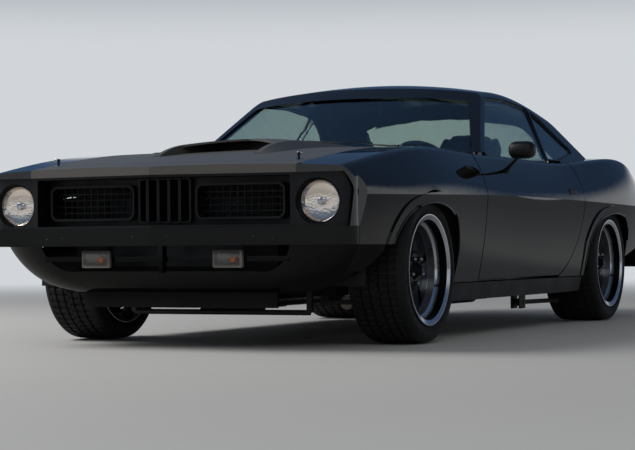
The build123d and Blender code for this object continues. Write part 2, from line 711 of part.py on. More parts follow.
with BuildPart() as tail_lamps:
    add(tail_band.part)
    block((-TAIL_LAMP_X[1] + FIT, TAIL_LAMP_X[1] - FIT), (LAMP_BACK_Y, OUT_Y),
          (TAIL_LAMP_Z[0] + FIT, TAIL_LAMP_Z[1] - FIT), mode=Mode.INTERSECT)
    block((-TAIL_LAMP_X[0] - FIT, TAIL_LAMP_X[0] + FIT), (2300, OUT_Y), (500, 900), mode=Mode.SUBTRACT)
save(tail_lamps.part, "tail_lamps")


def bumper(points, sign, low_z, high_z):
    """A slim bumper that follows the nose or the tail in plan."""
    extrude(end_plan(points, 0, sign), amount=FAR)
    extrude(end_plan(points, BUMPER_DEPTH, sign), amount=FAR, mode=Mode.SUBTRACT)
    ends = (-OUT_Y, BUMPER_REAR_Y) if sign > 0 else (-BUMPER_REAR_Y, OUT_Y)
    block((-1000, 1000), ends, (low_z, high_z), mode=Mode.INTERSECT)


with BuildPart() as front_bumper:
    bumper(NOSE_PLAN, 1, BUMPER_LOW_Z, BUMPER_TOP_Z)
save(front_bumper.part, "front_bumper")

# Two plate bolts at the standard spacing
PLATE_SPACING = 178
PLATE_HOLE_R = 3.5
PLATE_Z = 476
with BuildPart() as rear_bumper:
    bumper(TAIL_PLAN, -1, BUMPER_LOW_Z, BUMPER_TOP_Z)
    with BuildSketch(Plane.XZ):
        with Locations((-PLATE_SPACING / 2, PLATE_Z), (PLATE_SPACING / 2, PLATE_Z)):
            Circle(PLATE_HOLE_R)
    extrude(amount=-FAR, mode=Mode.SUBTRACT)
save(rear_bumper.part, "rear_bumper")

# Grille: a deep tray behind the header with a finned middle, two meshes and the lamps' bezels
MESH = {"x": 358, "z": 624, "wide": 400, "high": 132, "round": 24, "frame": 10}
GRILLE_BACK = {"mid": -2214, "side": -2176, "side_x": 610}
GRILLE_REAR_Y = -2148
GRILLE_PLATE = 10
FIN_X = [-78, -26, 26, 78]
FIN_T = 14
MIDDLE = {"wide": 236, "high": 176, "z": 630}
LAMP_POS = (730, 617)
LAMP_R = 84
BEZEL_R = 98
LAMP_SEAT_Y = -2214
BAR_T = 5
BAR_COLUMNS = 11
BAR_ROWS = 4
with BuildPart() as grille:
    add(body_inner.part)
    extrude(end_plan(NOSE_PLAN, GRILLE_SHIFT, 1), amount=FAR, mode=Mode.INTERSECT)
    block((-1000, 1000), (-OUT_Y, GRILLE_REAR_Y), (BUMPER_TOP_Z, HEADER_Z), mode=Mode.INTERSECT)
    with BuildSketch(Plane.XY.offset(BUMPER_TOP_Z + GRILLE_PLATE)):
        Polygon((-GRILLE_BACK["side_x"], -OUT_Y), (GRILLE_BACK["side_x"], -OUT_Y),
                (GRILLE_BACK["side_x"], GRILLE_BACK["side"]), (0, GRILLE_BACK["mid"]),
                (-GRILLE_BACK["side_x"], GRILLE_BACK["side"]), align=None)
    extrude(amount=HEADER_Z - BUMPER_TOP_Z - 2 * GRILLE_PLATE, mode=Mode.SUBTRACT)
    with BuildSketch(Plane.XZ.offset(-GRILLE_REAR_Y)):
        with Locations((MESH["x"], MESH["z"]), (-MESH["x"], MESH["z"])):
            RectangleRounded(MESH["wide"] + 2 * MESH["frame"], MESH["high"] + 2 * MESH["frame"],
                             MESH["round"] + MESH["frame"])
        with Locations((0, MIDDLE["z"])):
            RectangleRounded(MIDDLE["wide"] + 20, MIDDLE["high"] + 14, 14)
    extrude(amount=84)
    with BuildSketch(Plane.XZ):
        with Locations((MESH["x"], MESH["z"]), (-MESH["x"], MESH["z"])):
            RectangleRounded(MESH["wide"], MESH["high"], MESH["round"])
        with Locations((0, MIDDLE["z"])):
            RectangleRounded(MIDDLE["wide"], MIDDLE["high"], 10)
    extrude(amount=FAR, mode=Mode.SUBTRACT)
    with BuildSketch(Plane.XZ.offset(-GRILLE_REAR_Y + 20)):
        with Locations(*[(x, MIDDLE["z"]) for x in FIN_X]):
            Rectangle(FIN_T, MIDDLE["high"] + 4)
    extrude(amount=74)
    with BuildSketch(Plane.XZ.offset(-GRILLE_REAR_Y + 30)):
        for side in (1, -1):
            for column in range(BAR_COLUMNS):
                with Locations((side * (MESH["x"] + (column - 5) * 33), MESH["z"])):
                    Rectangle(BAR_T, MESH["high"] + 4)
            for level in range(BAR_ROWS):
                with Locations((side * MESH["x"], MESH["z"] + (level - 1.5) * 27)):
                    Rectangle(MESH["wide"] + 4, BAR_T)
    extrude(amount=6)
    with BuildSketch(Plane.XZ.offset(-LAMP_SEAT_Y)):
        with Locations((LAMP_POS[0], LAMP_POS[1]), (-LAMP_POS[0], LAMP_POS[1])):
            Circle(BEZEL_R)
    extrude(amount=200, mode=Mode.SUBTRACT)
save(grille.part, "grille")

# Headlamps: a domed lens in a round ring, in the lamp's own plane with its z forwards
LAMP_RING = 11
LAMP_DEPTH = 22
LENS_TIP = LAMP_DEPTH + 12
LENS_FLAT_R = 6
with BuildPart() as lamp:
    with BuildSketch(Plane.XZ):
        with BuildLine():
            Polyline((0, 0), (LAMP_R + LAMP_RING, 0), (LAMP_R + LAMP_RING, LAMP_DEPTH),
                     (LAMP_R + 2, LAMP_DEPTH + 4), (LAMP_R, LAMP_DEPTH - 3))
            ThreePointArc((LAMP_R, LAMP_DEPTH - 3), (LAMP_R * 0.6, LAMP_DEPTH + 8), (LENS_FLAT_R, LENS_TIP))
            Polyline((LENS_FLAT_R, LENS_TIP), (0, LENS_TIP), (0, 0))
        make_face()
    revolve(axis=Axis.Z)

with BuildPart() as headlamps:
    for side in (1, -1):
        with Locations(Plane((side * LAMP_POS[0], LAMP_SEAT_Y, LAMP_POS[1]), z_dir=(0, -1, 0))):
            add(lamp.part)
save(headlamps.part, "headlamps")

# Door: a full-thickness leaf whose edges taper inwards so that it swings out
DOOR_TAPER = 3.2
DOOR_OUT_X = 945
with BuildPart() as door_corner:
    block((DOOR_INNER_X - 5, DOOR_HINGE[0]), (DOOR_FRONT_Y - 5, DOOR_HINGE[1]), (0, 1000))
    with Locations((DOOR_HINGE[0], DOOR_HINGE[1], 500)):
        Cylinder(DOOR_CORNER_R, 1000, mode=Mode.SUBTRACT)

with BuildPart() as door_pockets:
    for low_z, high_z in HINGE_Z:
        block((DOOR_INNER_X - 5, DOOR_HINGE[0] + BARREL_R), (DOOR_FRONT_Y - 5, DOOR_HINGE[1]),
              (low_z, high_z))
        block((DOOR_INNER_X - 5, DOOR_HINGE[0]), (DOOR_HINGE[1], DOOR_HINGE[1] + BARREL_R + POCKET_GAP),
              (low_z, high_z))
        with Locations((DOOR_HINGE[0], DOOR_HINGE[1], (low_z + high_z) / 2)):
            Cylinder(BARREL_R + POCKET_GAP, high_z - low_z)

with BuildPart() as door_left:
    add(body_outer.part)
    extrude(door_face(on_x(DOOR_OUT_X), 0), amount=DOOR_INNER_X - DOOR_OUT_X, taper=DOOR_TAPER,
            mode=Mode.INTERSECT)
    block((DOOR_INNER_X, 1000), (-1000, 1000), (0, DOOR_TOP_CLEAR_Z - PANEL_GAP), mode=Mode.INTERSECT)
    add(door_corner.part, mode=Mode.SUBTRACT)
    add(door_pockets.part, mode=Mode.SUBTRACT)
    for low_z, high_z in HINGE_Z:
        with Locations((DOOR_HINGE[0], DOOR_HINGE[1], (low_z + high_z) / 2)):
            Cylinder(PIN_HINGE_R, high_z - low_z + 20)
save(door_left.part, "door_left")

with BuildPart() as door_right:
    mirror(door_left.part, about=Plane.YZ)
save(door_right.part, "door_right")

# Panes: thin layers of the greenhouse's own form, a little inside its skin
with BuildPart() as side_pane:
    loft(sections=[roof_face(row, PANE_SINK) for row in ROOF_SECTIONS])
    loft(sections=[roof_face(row, PANE_SINK + PANE_T) for row in ROOF_SECTIONS], mode=Mode.SUBTRACT)

with BuildPart() as door_glass_left:
    add(side_pane.part)
    extrude(window_face(DOOR_GLASS, on_x(400), 0), amount=500, mode=Mode.INTERSECT)
    add(body_outer.part, mode=Mode.SUBTRACT)
save(door_glass_left.part, "door_glass_left")

with BuildPart() as door_glass_right:
    mirror(door_glass_left.part, about=Plane.YZ)
save(door_glass_right.part, "door_glass_right")

with BuildPart() as quarter_openings:
    for side in (1, -1):
        extrude(window_face(QUARTER_GLASS, on_x(side * 400), 1), amount=side * 500)

with BuildPart() as quarter_glass:
    add(side_pane.part)
    add(quarter_openings.part, mode=Mode.INTERSECT)
    add(body_outer.part, mode=Mode.SUBTRACT)

with BuildPart() as behind_screen:
    add(roof_inner.part)
    add(glass_space(SCREEN_TOP, SCREEN_SLOPE, SCREEN_R, -1, PANE_SINK + PANE_T), mode=Mode.SUBTRACT)

with BuildPart() as windshield:
    add(roof_inner.part)
    add(glass_space(SCREEN_TOP, SCREEN_SLOPE, SCREEN_R, -1, PANE_SINK), mode=Mode.SUBTRACT)
    add(behind_screen.part, mode=Mode.SUBTRACT)
    add(body_outer.part, mode=Mode.SUBTRACT)
    add(foot_blocks.part, mode=Mode.SUBTRACT)
save(windshield.part, "windshield")

with BuildPart() as behind_rear:
    add(roof_outer.part)
    add(glass_space(REAR_TOP, REAR_SLOPE, REAR_R, 1, PANE_SINK + PANE_T), mode=Mode.SUBTRACT)

with BuildPart() as rear_glass:
    add(rear_open.part)
    add(roof_outer.part, mode=Mode.INTERSECT)
    add(glass_space(REAR_TOP, REAR_SLOPE, REAR_R, 1, PANE_SINK), mode=Mode.SUBTRACT)
    add(behind_rear.part, mode=Mode.SUBTRACT)
    add(body_outer.part, mode=Mode.SUBTRACT)
    add(quarter_glass.part)
save(rear_glass.part, "rear_glass")

# Front valance: a shell that narrows and slants back from the bumper to the chin. Each row is
# a level with its half plan: tip, middle, the corner's arc and its end, and the side
VALANCE = [
    {"z": BUMPER_LOW_Z, "tip": (0, -2290), "mid": (560, -2262), "arc": (752, -2214), "side": (850, -2130),
     "far": (884, -1860)},
    {"z": 330, "tip": (0, -2252), "mid": (530, -2222), "arc": (698, -2164), "side": (776, -2085),
     "far": (832, -1860)},
    {"z": 240, "tip": (0, -2150), "mid": (410, -2128), "arc": (548, -2080), "side": (634, -1990),
     "far": (670, -1860)},
]
VALANCE_T = 11
VALANCE_REAR = [(-1800, 500), (-1907, 440), (-1907, 414), (-2046, 262), (-2046, 0), (-1800, 0)]
CHIN_LOW_Z = 174
CHIN_X = 470


def valance_face(row, inset):
    """The valance's closed outline at one level, moved in by inset."""
    tip = (0, row["tip"][1] + inset)
    mid = (row["mid"][0], row["mid"][1] + inset)
    arc = (row["arc"][0] - inset * 0.7, row["arc"][1] + inset * 0.7)
    side = (row["side"][0] - inset, row["side"][1])
    far = (row["far"][0] - inset, row["far"][1])
    with BuildSketch(Plane.XY.offset(row["z"])) as face:
        with BuildLine():
            Line(tip, mid)
            ThreePointArc(mid, arc, side)
            Line(side, far)
            Line(far, mirrored(far))
            Line(mirrored(far), mirrored(side))
            ThreePointArc(mirrored(side), mirrored(arc), mirrored(mid))
            Line(mirrored(mid), tip)
        make_face()
    return face.sketch


# The mouth's half outline: its floor's level, and the round end of its lower edge
MOUTH_LOW_Z = 331
MOUTH_END = [(430, MOUTH_LOW_Z), (556, 366), (604, 460)]
PARK_LAMP = {"x": 318, "z": 383, "wide": 138, "high": 74, "round": 14, "front_y": -2278, "rear_y": -2248}
RAIL_REAR_Y = -2236
BAR_HALF = 11
with BuildPart() as valance_room:
    loft(sections=[valance_face(row, VALANCE_T) for row in VALANCE])

with BuildPart() as chin:
    extrude(valance_face(VALANCE[2], 8), amount=CHIN_LOW_Z - VALANCE[2]["z"])
    extrude(valance_face(VALANCE[2], 8 + VALANCE_T), amount=CHIN_LOW_Z - VALANCE[2]["z"], mode=Mode.SUBTRACT)
    block((-CHIN_X, CHIN_X), (-OUT_Y, -2000), (0, 500), mode=Mode.INTERSECT)

with BuildPart() as front_valance:
    loft(sections=[valance_face(row, 0) for row in VALANCE])
    add(valance_room.part, mode=Mode.SUBTRACT)
    with BuildSketch(Plane.XZ):
        with BuildLine():
            Line(mirrored(MOUTH_END[0]), MOUTH_END[0])
            ThreePointArc(*MOUTH_END)
            Line(MOUTH_END[2], mirrored(MOUTH_END[2]))
            ThreePointArc(mirrored(MOUTH_END[2]), mirrored(MOUTH_END[1]), mirrored(MOUTH_END[0]))
        make_face()
    extrude(amount=FAR, mode=Mode.SUBTRACT)
    with BuildSketch(on_x(-1000)):
        with BuildLine():
            Polyline(*VALANCE_REAR, close=True)
        make_face()
    extrude(amount=2000, mode=Mode.SUBTRACT)
    block((-590, 590), (PARK_LAMP["rear_y"], RAIL_REAR_Y), (PARK_LAMP["z"] - 11, PARK_LAMP["z"] + 11))
    block((-BAR_HALF, BAR_HALF), (PARK_LAMP["front_y"] + 6, RAIL_REAR_Y), (MOUTH_LOW_Z - 6, BUMPER_LOW_Z))
    add(chin.part)
save(front_valance.part, "front_valance")

with BuildPart() as park_lamps:
    for side in (1, -1):
        with BuildSketch(Plane.XZ.offset(-PARK_LAMP["rear_y"])):
            with Locations((side * PARK_LAMP["x"], PARK_LAMP["z"])):
                RectangleRounded(PARK_LAMP["wide"], PARK_LAMP["high"], PARK_LAMP["round"])
        extrude(amount=PARK_LAMP["rear_y"] - PARK_LAMP["front_y"])
save(park_lamps.part, "park_lamps")

# Rear valance: a band under the rear bumper that follows the tail in plan
REAR_VALANCE_SHIFT = 20
REAR_VALANCE_LOW_Z = 292
with BuildPart() as rear_valance:
    extrude(end_plan(TAIL_PLAN, REAR_VALANCE_SHIFT, -1), amount=BUMPER_LOW_Z)
    extrude(end_plan(TAIL_PLAN, REAR_VALANCE_SHIFT + VALANCE_T, -1), amount=BUMPER_LOW_Z, mode=Mode.SUBTRACT)
    block((-1000, 1000), (-BUMPER_REAR_Y, OUT_Y), (REAR_VALANCE_LOW_Z, BUMPER_LOW_Z), mode=Mode.INTERSECT)
save(rear_valance.part, "rear_valance")

# Floor with its tunnel and the rear floor that steps up over the axle, y and z
FLOOR_T = 20
FLOOR_FRONT_Y = FIREWALL_Y + FIREWALL_T
HEEL_Y = 600
REAR_FLOOR_X = 504
REAR_FLOOR = [(HEEL_Y, FLOOR_Z), (690, 400), (900, 480), (1560, 480), (1640, 400), (2290, 400), (2290, 415),
              (1646, 415), (1566, 495), (896, 495), (678, 415), (588, FLOOR_Z + FLOOR_T),
              (HEEL_Y - 60, FLOOR_Z + FLOOR_T), (HEEL_Y - 60, FLOOR_Z)]
# Spring hangers under the rear floor: y limits, foot and top heights
SPRING_X = 450
SPRING_HALF = 32
HANGERS = [{"y": (765, 800), "low": 318, "high": 440}, {"y": (1868, 1900), "low": 378, "high": 405}]
with BuildPart() as floor_pan:
    block((-768, 768), (FLOOR_FRONT_Y, HEEL_Y), (FLOOR_Z, FLOOR_Z + FLOOR_T))
    with BuildSketch(on_x(-REAR_FLOOR_X)):
        with BuildLine():
            Polyline(*REAR_FLOOR, close=True)
        make_face()
    extrude(amount=2 * REAR_FLOOR_X)
    extrude(tunnel_face(at_y(FLOOR_FRONT_Y), 0), amount=FLOOR_FRONT_Y - 760)
    extrude(tunnel_face(at_y(-900), TUNNEL_WALL), amount=-1900, mode=Mode.SUBTRACT)
    block((-1000, 1000), (-1000, 1000), (-10, FLOOR_Z), mode=Mode.SUBTRACT)
    for row in HANGERS:
        for side in (1, -1):
            block((side * SPRING_X - SPRING_HALF, side * SPRING_X + SPRING_HALF), row["y"],
                  (row["low"], row["high"]))
save(floor_pan.part, "floor_pan")

# Sills with a jacking pad under each front end
SILL_X = 640
SILL_Y = (-1100, REAR_ARCH[0][0] - 12)
JACK_PAD = {"x": 745, "y": -600, "half": 35, "low": 168, "high": 185}
with BuildPart() as sill_left:
    add(body_outer.part)
    block((SILL_X, 1000), SILL_Y, (100, SILL_TOP_Z - PANEL_GAP), mode=Mode.INTERSECT)
    block((SILL_X - 1, 768), (FIREWALL_Y, HEEL_Y), (FLOOR_Z, 400), mode=Mode.SUBTRACT)
    block((JACK_PAD["x"] - JACK_PAD["half"], JACK_PAD["x"] + JACK_PAD["half"]),
          (JACK_PAD["y"] - JACK_PAD["half"], JACK_PAD["y"] + JACK_PAD["half"]),
          (JACK_PAD["low"], JACK_PAD["high"]))

with BuildPart() as sills:
    add(sill_left.part)
    mirror(sill_left.part, about=Plane.YZ)
save(sills.part, "sills")

# Front structure: rails, engine crossmember, inner fenders, hood pin shelves and radiator support
RAIL_X = (400, 480)
RAIL_Z = (300, 400)
APRON_X = (480, 492)
APRON_Z = (330, 770)
FRAME_FRONT_Y = -2128
CROSS_Y = (-1535, -1405)
CROSS_LOW_Z = 210
SUPPORT_T = 20
SHELF_T = 12
SHELF_HALF = 18
SHELF_DEEP = 10


def both(x, y, z, mode=Mode.ADD):
    """A box on the left and its mirror image on the right."""
    block(x, y, z, mode=mode)
    block((-x[1], -x[0]), y, z, mode=mode)


with BuildPart() as pin_stands:
    for row in PIN_STANDS:
        for side in (1, -1):
            block(across(side, (APRON_X[0], row["x"] + SHELF_HALF)),
                  (row["y"] - SHELF_DEEP, row["y"] + SHELF_DEEP), (row["shelf"] - SHELF_T, row["shelf"]))
            with Locations((side * row["x"], row["y"], row["shelf"])):
                Cylinder(PIN_COLLAR_R, row["tip"] - row["shelf"], align=ON_BASE)
    add(Pos(0, 0, -HOOD_REST_GAP) * body_inner.part, mode=Mode.INTERSECT)
    for row in PIN_STANDS:
        for side in (1, -1):
            with Locations((side * row["x"], row["y"], row["shelf"])):
                Cylinder(PIN_R, row["tip"] - row["shelf"], align=ON_BASE)

with BuildPart() as front_frame:
    both(RAIL_X, (FRAME_FRONT_Y, FIREWALL_Y), RAIL_Z)
    both(APRON_X, (FRAME_FRONT_Y, FIREWALL_Y), APRON_Z)
    block((-RAIL_X[1], RAIL_X[1]), CROSS_Y, (CROSS_LOW_Z, RAIL_Z[0]))
    block((-APRON_X[1], APRON_X[1]), (FRAME_FRONT_Y - SUPPORT_T, FRAME_FRONT_Y), (RAIL_Z[0], SUPPORT_TOP_Z))
    block((-330, 330), (FRAME_FRONT_Y - SUPPORT_T, FRAME_FRONT_Y), (350, 640), mode=Mode.SUBTRACT)
    add(pin_stands.part)
save(front_frame.part, "front_frame")

# Wheelhouse liners over the front wheels, between the inner fenders and the fenders
LINER_GROW = 46
LINER_T = 6
LINER_LOW_X = 800
with BuildPart() as liner_bands:
    for side in (1, -1):
        with BuildSketch(on_x(side * APRON_X[1])):
            add(arch_face(FRONT_ARCH, Plane.XY))
            offset(amount=LINER_GROW + LINER_T)
            add(offset(arch_face(FRONT_ARCH, Plane.XY), amount=LINER_GROW, mode=Mode.PRIVATE),
                mode=Mode.SUBTRACT)
        extrude(amount=side * 400)

with BuildPart() as front_liners:
    add(liner_bands.part)
    block((-1000, 1000), (-OUT_Y, FIREWALL_Y - 20), (SILL_TOP_Z, 800), mode=Mode.INTERSECT)
    add(body_inner.part, mode=Mode.INTERSECT)
    both((LINER_LOW_X, 1000), (-OUT_Y, FRONT_AXLE_Y), (0, FENDER_LOW_Z), mode=Mode.SUBTRACT)
save(front_liners.part, "front_liners")

with BuildPart() as radiator:
    block((-345, 345), (FRAME_FRONT_Y, FRAME_FRONT_Y + 56), (335, 655))
save(radiator.part, "radiator")

# Engine as one plain block with its gearbox and sump, on its mounts to the crossmember
GEARBOX_R = 70
GEARBOX_Z = 315
with BuildPart() as engine:
    block((-270, 270), (-1760, -1000), (RAIL_Z[0], 780))
    block((-130, 130), (-1680, CROSS_Y[0] - PANEL_GAP), (138, RAIL_Z[0]))
    with Locations(Plane((0, -1000, GEARBOX_Z), x_dir=(1, 0, 0), z_dir=(0, 1, 0))):
        Cylinder(GEARBOX_R, 420, align=ON_BASE)
save(engine.part, "engine")

# Dashboard: a padded top over an upright face, y and z, with a hood over the dials
DASH = [(FLOOR_FRONT_Y, 640), (-470, 640), (-410, 700), (-400, 800), (-430, 838), (-640, 846),
        (FLOOR_FRONT_Y, 834)]
DASH_X = 705
DIAL_HOOD = {"x": (230, 510), "y": (-480, -372), "z": (720, 850)}
with BuildPart() as dashboard:
    with BuildSketch(on_x(-DASH_X)):
        with BuildLine():
            Polyline(*DASH, close=True)
        make_face()
    extrude(amount=2 * DASH_X)
    block(DIAL_HOOD["x"], DIAL_HOOD["y"], DIAL_HOOD["z"])
    block((DIAL_HOOD["x"][0] + 12, DIAL_HOOD["x"][1] - 12), (-395, -360), (732, 838), mode=Mode.SUBTRACT)
save(dashboard.part, "dashboard")

# Steering wheel with three spokes on its column
WHEEL_TILT = (0, 0.9, 0.42)
with BuildPart() as steering_wheel:
    with Locations(Plane((370, -250, 790), x_dir=(1, 0, 0), z_dir=WHEEL_TILT)):
        Torus(172, 14)
        Cylinder(46, 34)
        with PolarLocations(86, 3, start_angle=-90):
            Box(172, 26, 10)
        Cylinder(22, 140, align=(Align.CENTER, Align.CENTER, Align.MAX))
    add(dashboard.part, mode=Mode.SUBTRACT)
save(steering_wheel.part, "steering_wheel")

# Front seats: a cushion and a high back in side view, y and z, with rounded edges
SEAT_X = 370
SEAT_HALF = 235
FLOOR_TOP_Z = FLOOR_Z + FLOOR_T
CUSHION = [(-110, 300), (-130, 420), (-60, 462), (330, 420), (360, FLOOR_TOP_Z), (-70, FLOOR_TOP_Z)]
BACKREST = [(300, 400), (400, 1010), (450, 1068), (530, 1060), (545, 1000), (440, 380)]
SEAT_ROUND = 34
with BuildPart() as seats:
    for side in (1, -1):
        with BuildSketch(on_x(side * SEAT_X - SEAT_HALF)):
            with BuildLine():
                Polyline(*CUSHION, close=True)
            make_face()
            with BuildLine():
                Polyline(*BACKREST, close=True)
            make_face()
        extrude(amount=2 * SEAT_HALF)
    fillet(seats.edges().filter_by(GeomType.LINE).filter_by(
        lambda edge: edge.center().Z > 470 and abs(edge.tangent_at(0.5).X) < 0.1), radius=SEAT_ROUND)
save(seats.part, "front_seats")

# Rear bench in side view, y and z
BENCH = [(690, 432), (896, 495), (1150, 495), (1120, 880), (1040, 890), (960, 570), (720, 570), (680, 520)]
with BuildPart() as rear_seat:
    with BuildSketch(on_x(-500)):
        with BuildLine():
            Polyline(*BENCH, close=True)
        make_face()
    extrude(amount=1000)
save(rear_seat.part, "rear_seat")

# Wheels: their places, half the tyre's width, and the bore that the axle's end turns in
WHEELS = [{"name": "front_left", "x": WHEEL_X, "y": FRONT_AXLE_Y, "side": 1, "half": 135},
          {"name": "front_right", "x": WHEEL_X, "y": FRONT_AXLE_Y, "side": -1, "half": 135},
          {"name": "rear_left", "x": REAR_TYRE_X, "y": REAR_AXLE_Y, "side": 1, "half": 150},
          {"name": "rear_right", "x": REAR_TYRE_X, "y": REAR_AXLE_Y, "side": -1, "half": 150}]
HUB_R = 34
HUB_END = 60
HUB_INNER = 4
RUN_FIT = 0.3
BEAD_R = 228
WELL_FLOOR_R = 208
BARREL_IN_R = 202
DISC_T = 12
WALL_R = 292
SHOULDER_IN = 32
SLOT = {"near": 90, "far": 184, "near_half": 7, "far_half": 17}


def wheel_plane(row):
    """A wheel's own plane: its z points out of the car, its origin is at the tyre's middle."""
    return Plane((row["side"] * row["x"], row["y"], TYRE_R), x_dir=(0, 1, 0), z_dir=(row["side"], 0, 0))


def rim_profile(lip):
    """The rim's closed cross section, radius and width: flanges, bead seats, well and step ring."""
    return [(LIP_R, lip), (LIP_R, lip - 8), (BEAD_R, lip - 13), (BEAD_R, lip - 49), (WELL_FLOOR_R, lip - 75),
            (WELL_FLOOR_R, -lip + 49), (BEAD_R, -lip + 34), (BEAD_R, -lip + 13), (LIP_R, -lip + 8),
            (LIP_R, -lip), (LIP_R - 4, -lip), (222, -lip + 12), (BARREL_IN_R, -lip + 44),
            (BARREL_IN_R, lip - 59), (216, lip - 51), (221, lip - 8), (LIP_R - 4, lip)]


def disc_profile(face):
    """The wheel centre's closed cross section, radius and width, with its hub and cone cap."""
    return [(0, HUB_END), (HUB_R, HUB_END), (HUB_R, HUB_INNER), (66, HUB_INNER), (70, face - DISC_T - 2),
            (BARREL_IN_R + 3, face - DISC_T), (BARREL_IN_R + 3, face), (90, face + 12), (72, face + 22),
            (HUB_R + 12, face + 22), (HUB_R + 4, face + 30), (16, face + 54), (10, face + 58), (0, face + 58)]


def tyre_profile(half):
    """The tyre's closed cross section, radius and width: bead seat, side walls, shoulders and tread."""
    bead = half - 15 - RUN_FIT
    tread = half - SHOULDER_IN
    return [(BEAD_R + RUN_FIT, bead), (WALL_R, half), (TYRE_R, tread), (TYRE_R, -tread), (WALL_R, -half),
            (BEAD_R + RUN_FIT, -bead)]


for row in WHEELS:
    lip = row["half"] - 2
    with BuildPart() as wheel:
        with BuildSketch(Plane.XZ):
            with BuildLine():
                Polyline(*rim_profile(lip), close=True)
            make_face()
            with BuildLine():
                Polyline(*disc_profile(lip - 93), close=True)
            make_face()
        revolve(axis=Axis.Z)
        with BuildSketch(Plane.XY):
            for turn in range(5):
                with Locations(Location((0, 0, 0), (0, 0, 72 * turn + 18))):
                    Polygon((SLOT["near"], -SLOT["near_half"]), (SLOT["far"], -SLOT["far_half"]),
                            (SLOT["far"], SLOT["far_half"]), (SLOT["near"], SLOT["near_half"]), align=None)
        extrude(amount=lip, mode=Mode.SUBTRACT)
    save(wheel_plane(row).location * wheel.part, "wheel_" + row["name"])

    with BuildPart() as tyre:
        with BuildSketch(Plane.XZ):
            with BuildLine():
                Polyline(*tyre_profile(row["half"]), close=True)
            make_face()
        revolve(axis=Axis.Z)
    save(wheel_plane(row).location * tyre.part, "tyre_" + row["name"])

# Rear axle with its differential, leaf springs, stub ends in the wheels and the drive shaft
STUB_R = HUB_R - RUN_FIT
STUB_END = HUB_END - 4
AXLE_TUBE_R = 40
TUBE_END_X = REAR_TYRE_X + HUB_INNER - PANEL_GAP
with BuildPart() as rear_axle:
    with Locations(Plane((0, REAR_AXLE_Y, TYRE_R), z_dir=(1, 0, 0))):
        Cylinder(AXLE_TUBE_R, 2 * TUBE_END_X)
        Cylinder(STUB_R, 2 * (REAR_TYRE_X + STUB_END))
        Sphere(140)
    for side in (1, -1):
        with BuildSketch(on_x(side * SPRING_X - SPRING_HALF)):
            with BuildLine():
                Line((765, 286), (765, HANGERS[0]["low"]))
                Line((765, HANGERS[0]["low"]), (800, HANGERS[0]["low"]))
                ThreePointArc((800, HANGERS[0]["low"]), (1272, 288), (1868, HANGERS[1]["low"]))
                Line((1868, HANGERS[1]["low"]), (1900, HANGERS[1]["low"]))
                Line((1900, HANGERS[1]["low"]), (1900, 350))
                ThreePointArc((1900, 350), (1272, 256), (765, 286))
            make_face()
        extrude(amount=2 * SPRING_HALF)
    with Locations(Plane((0, -578, TYRE_R), x_dir=(1, 0, 0), z_dir=(0, 1, 0))):
        Cylinder(38, REAR_AXLE_Y + 480, align=ON_BASE)
save(rear_axle.part, "rear_axle")

# Twin exhaust with a flat muffler under each side of the floor
EXHAUST_X = 290
PIPE_R = 32
PIPE_Z = 162
MUFFLER = {"y": (60, 520), "z": (122, FLOOR_Z), "half": 95, "round": 36}
with BuildPart() as exhaust:
    for side in (1, -1):
        with Locations(Plane((side * EXHAUST_X, -1000, PIPE_Z), x_dir=(1, 0, 0), z_dir=(0, 1, 0))):
            Cylinder(PIPE_R, 1900, align=ON_BASE)
        with BuildSketch(Plane.XZ.offset(-MUFFLER["y"][0])):
            with Locations((side * EXHAUST_X, sum(MUFFLER["z"]) / 2)):
                RectangleRounded(2 * MUFFLER["half"], MUFFLER["z"][1] - MUFFLER["z"][0], MUFFLER["round"])
        extrude(amount=MUFFLER["y"][0] - MUFFLER["y"][1])
save(exhaust.part, "exhaust")

with BuildPart() as fuel_tank:
    block((-400, 400), (1670, 2150), (270, 400))
    fillet(fuel_tank.edges().group_by(Axis.Z)[0], radius=30)
save(fuel_tank.part, "fuel_tank")

# Front suspension: lower and upper arms that end in ball pins on the steering axis, and the
# anti-roll bar. Each arm is a plate between two levels.
ARM_INNER_Y = 78
BALL_R = 9
BALL_END_R = 22
LOWER_ARM_Z = (172, 190)
UPPER_ARM_Z = (462, 478)
LOWER_LUG_Z = (193, 213)
UPPER_LUG_Z = (439, 459)
ROLL_BAR_Y = -1730
ROLL_BAR_Z = 142
ROLL_BAR_R = 12
ROLL_BAR_X = 442


def arm_plate(side, root_x, level):
    """One wishbone arm as a flat plate that tapers out to its ball end."""
    with BuildSketch(Plane.XY.offset(level[0])) as face:
        Polygon((side * root_x, FRONT_AXLE_Y - ARM_INNER_Y), (side * root_x, FRONT_AXLE_Y + ARM_INNER_Y),
                (side * WHEEL_X, FRONT_AXLE_Y + BALL_END_R - 4),
                (side * WHEEL_X, FRONT_AXLE_Y - BALL_END_R + 4), align=None)
        with Locations((side * WHEEL_X, FRONT_AXLE_Y)):
            Circle(BALL_END_R)
    return extrude(face.sketch, amount=level[1] - level[0], mode=Mode.PRIVATE)


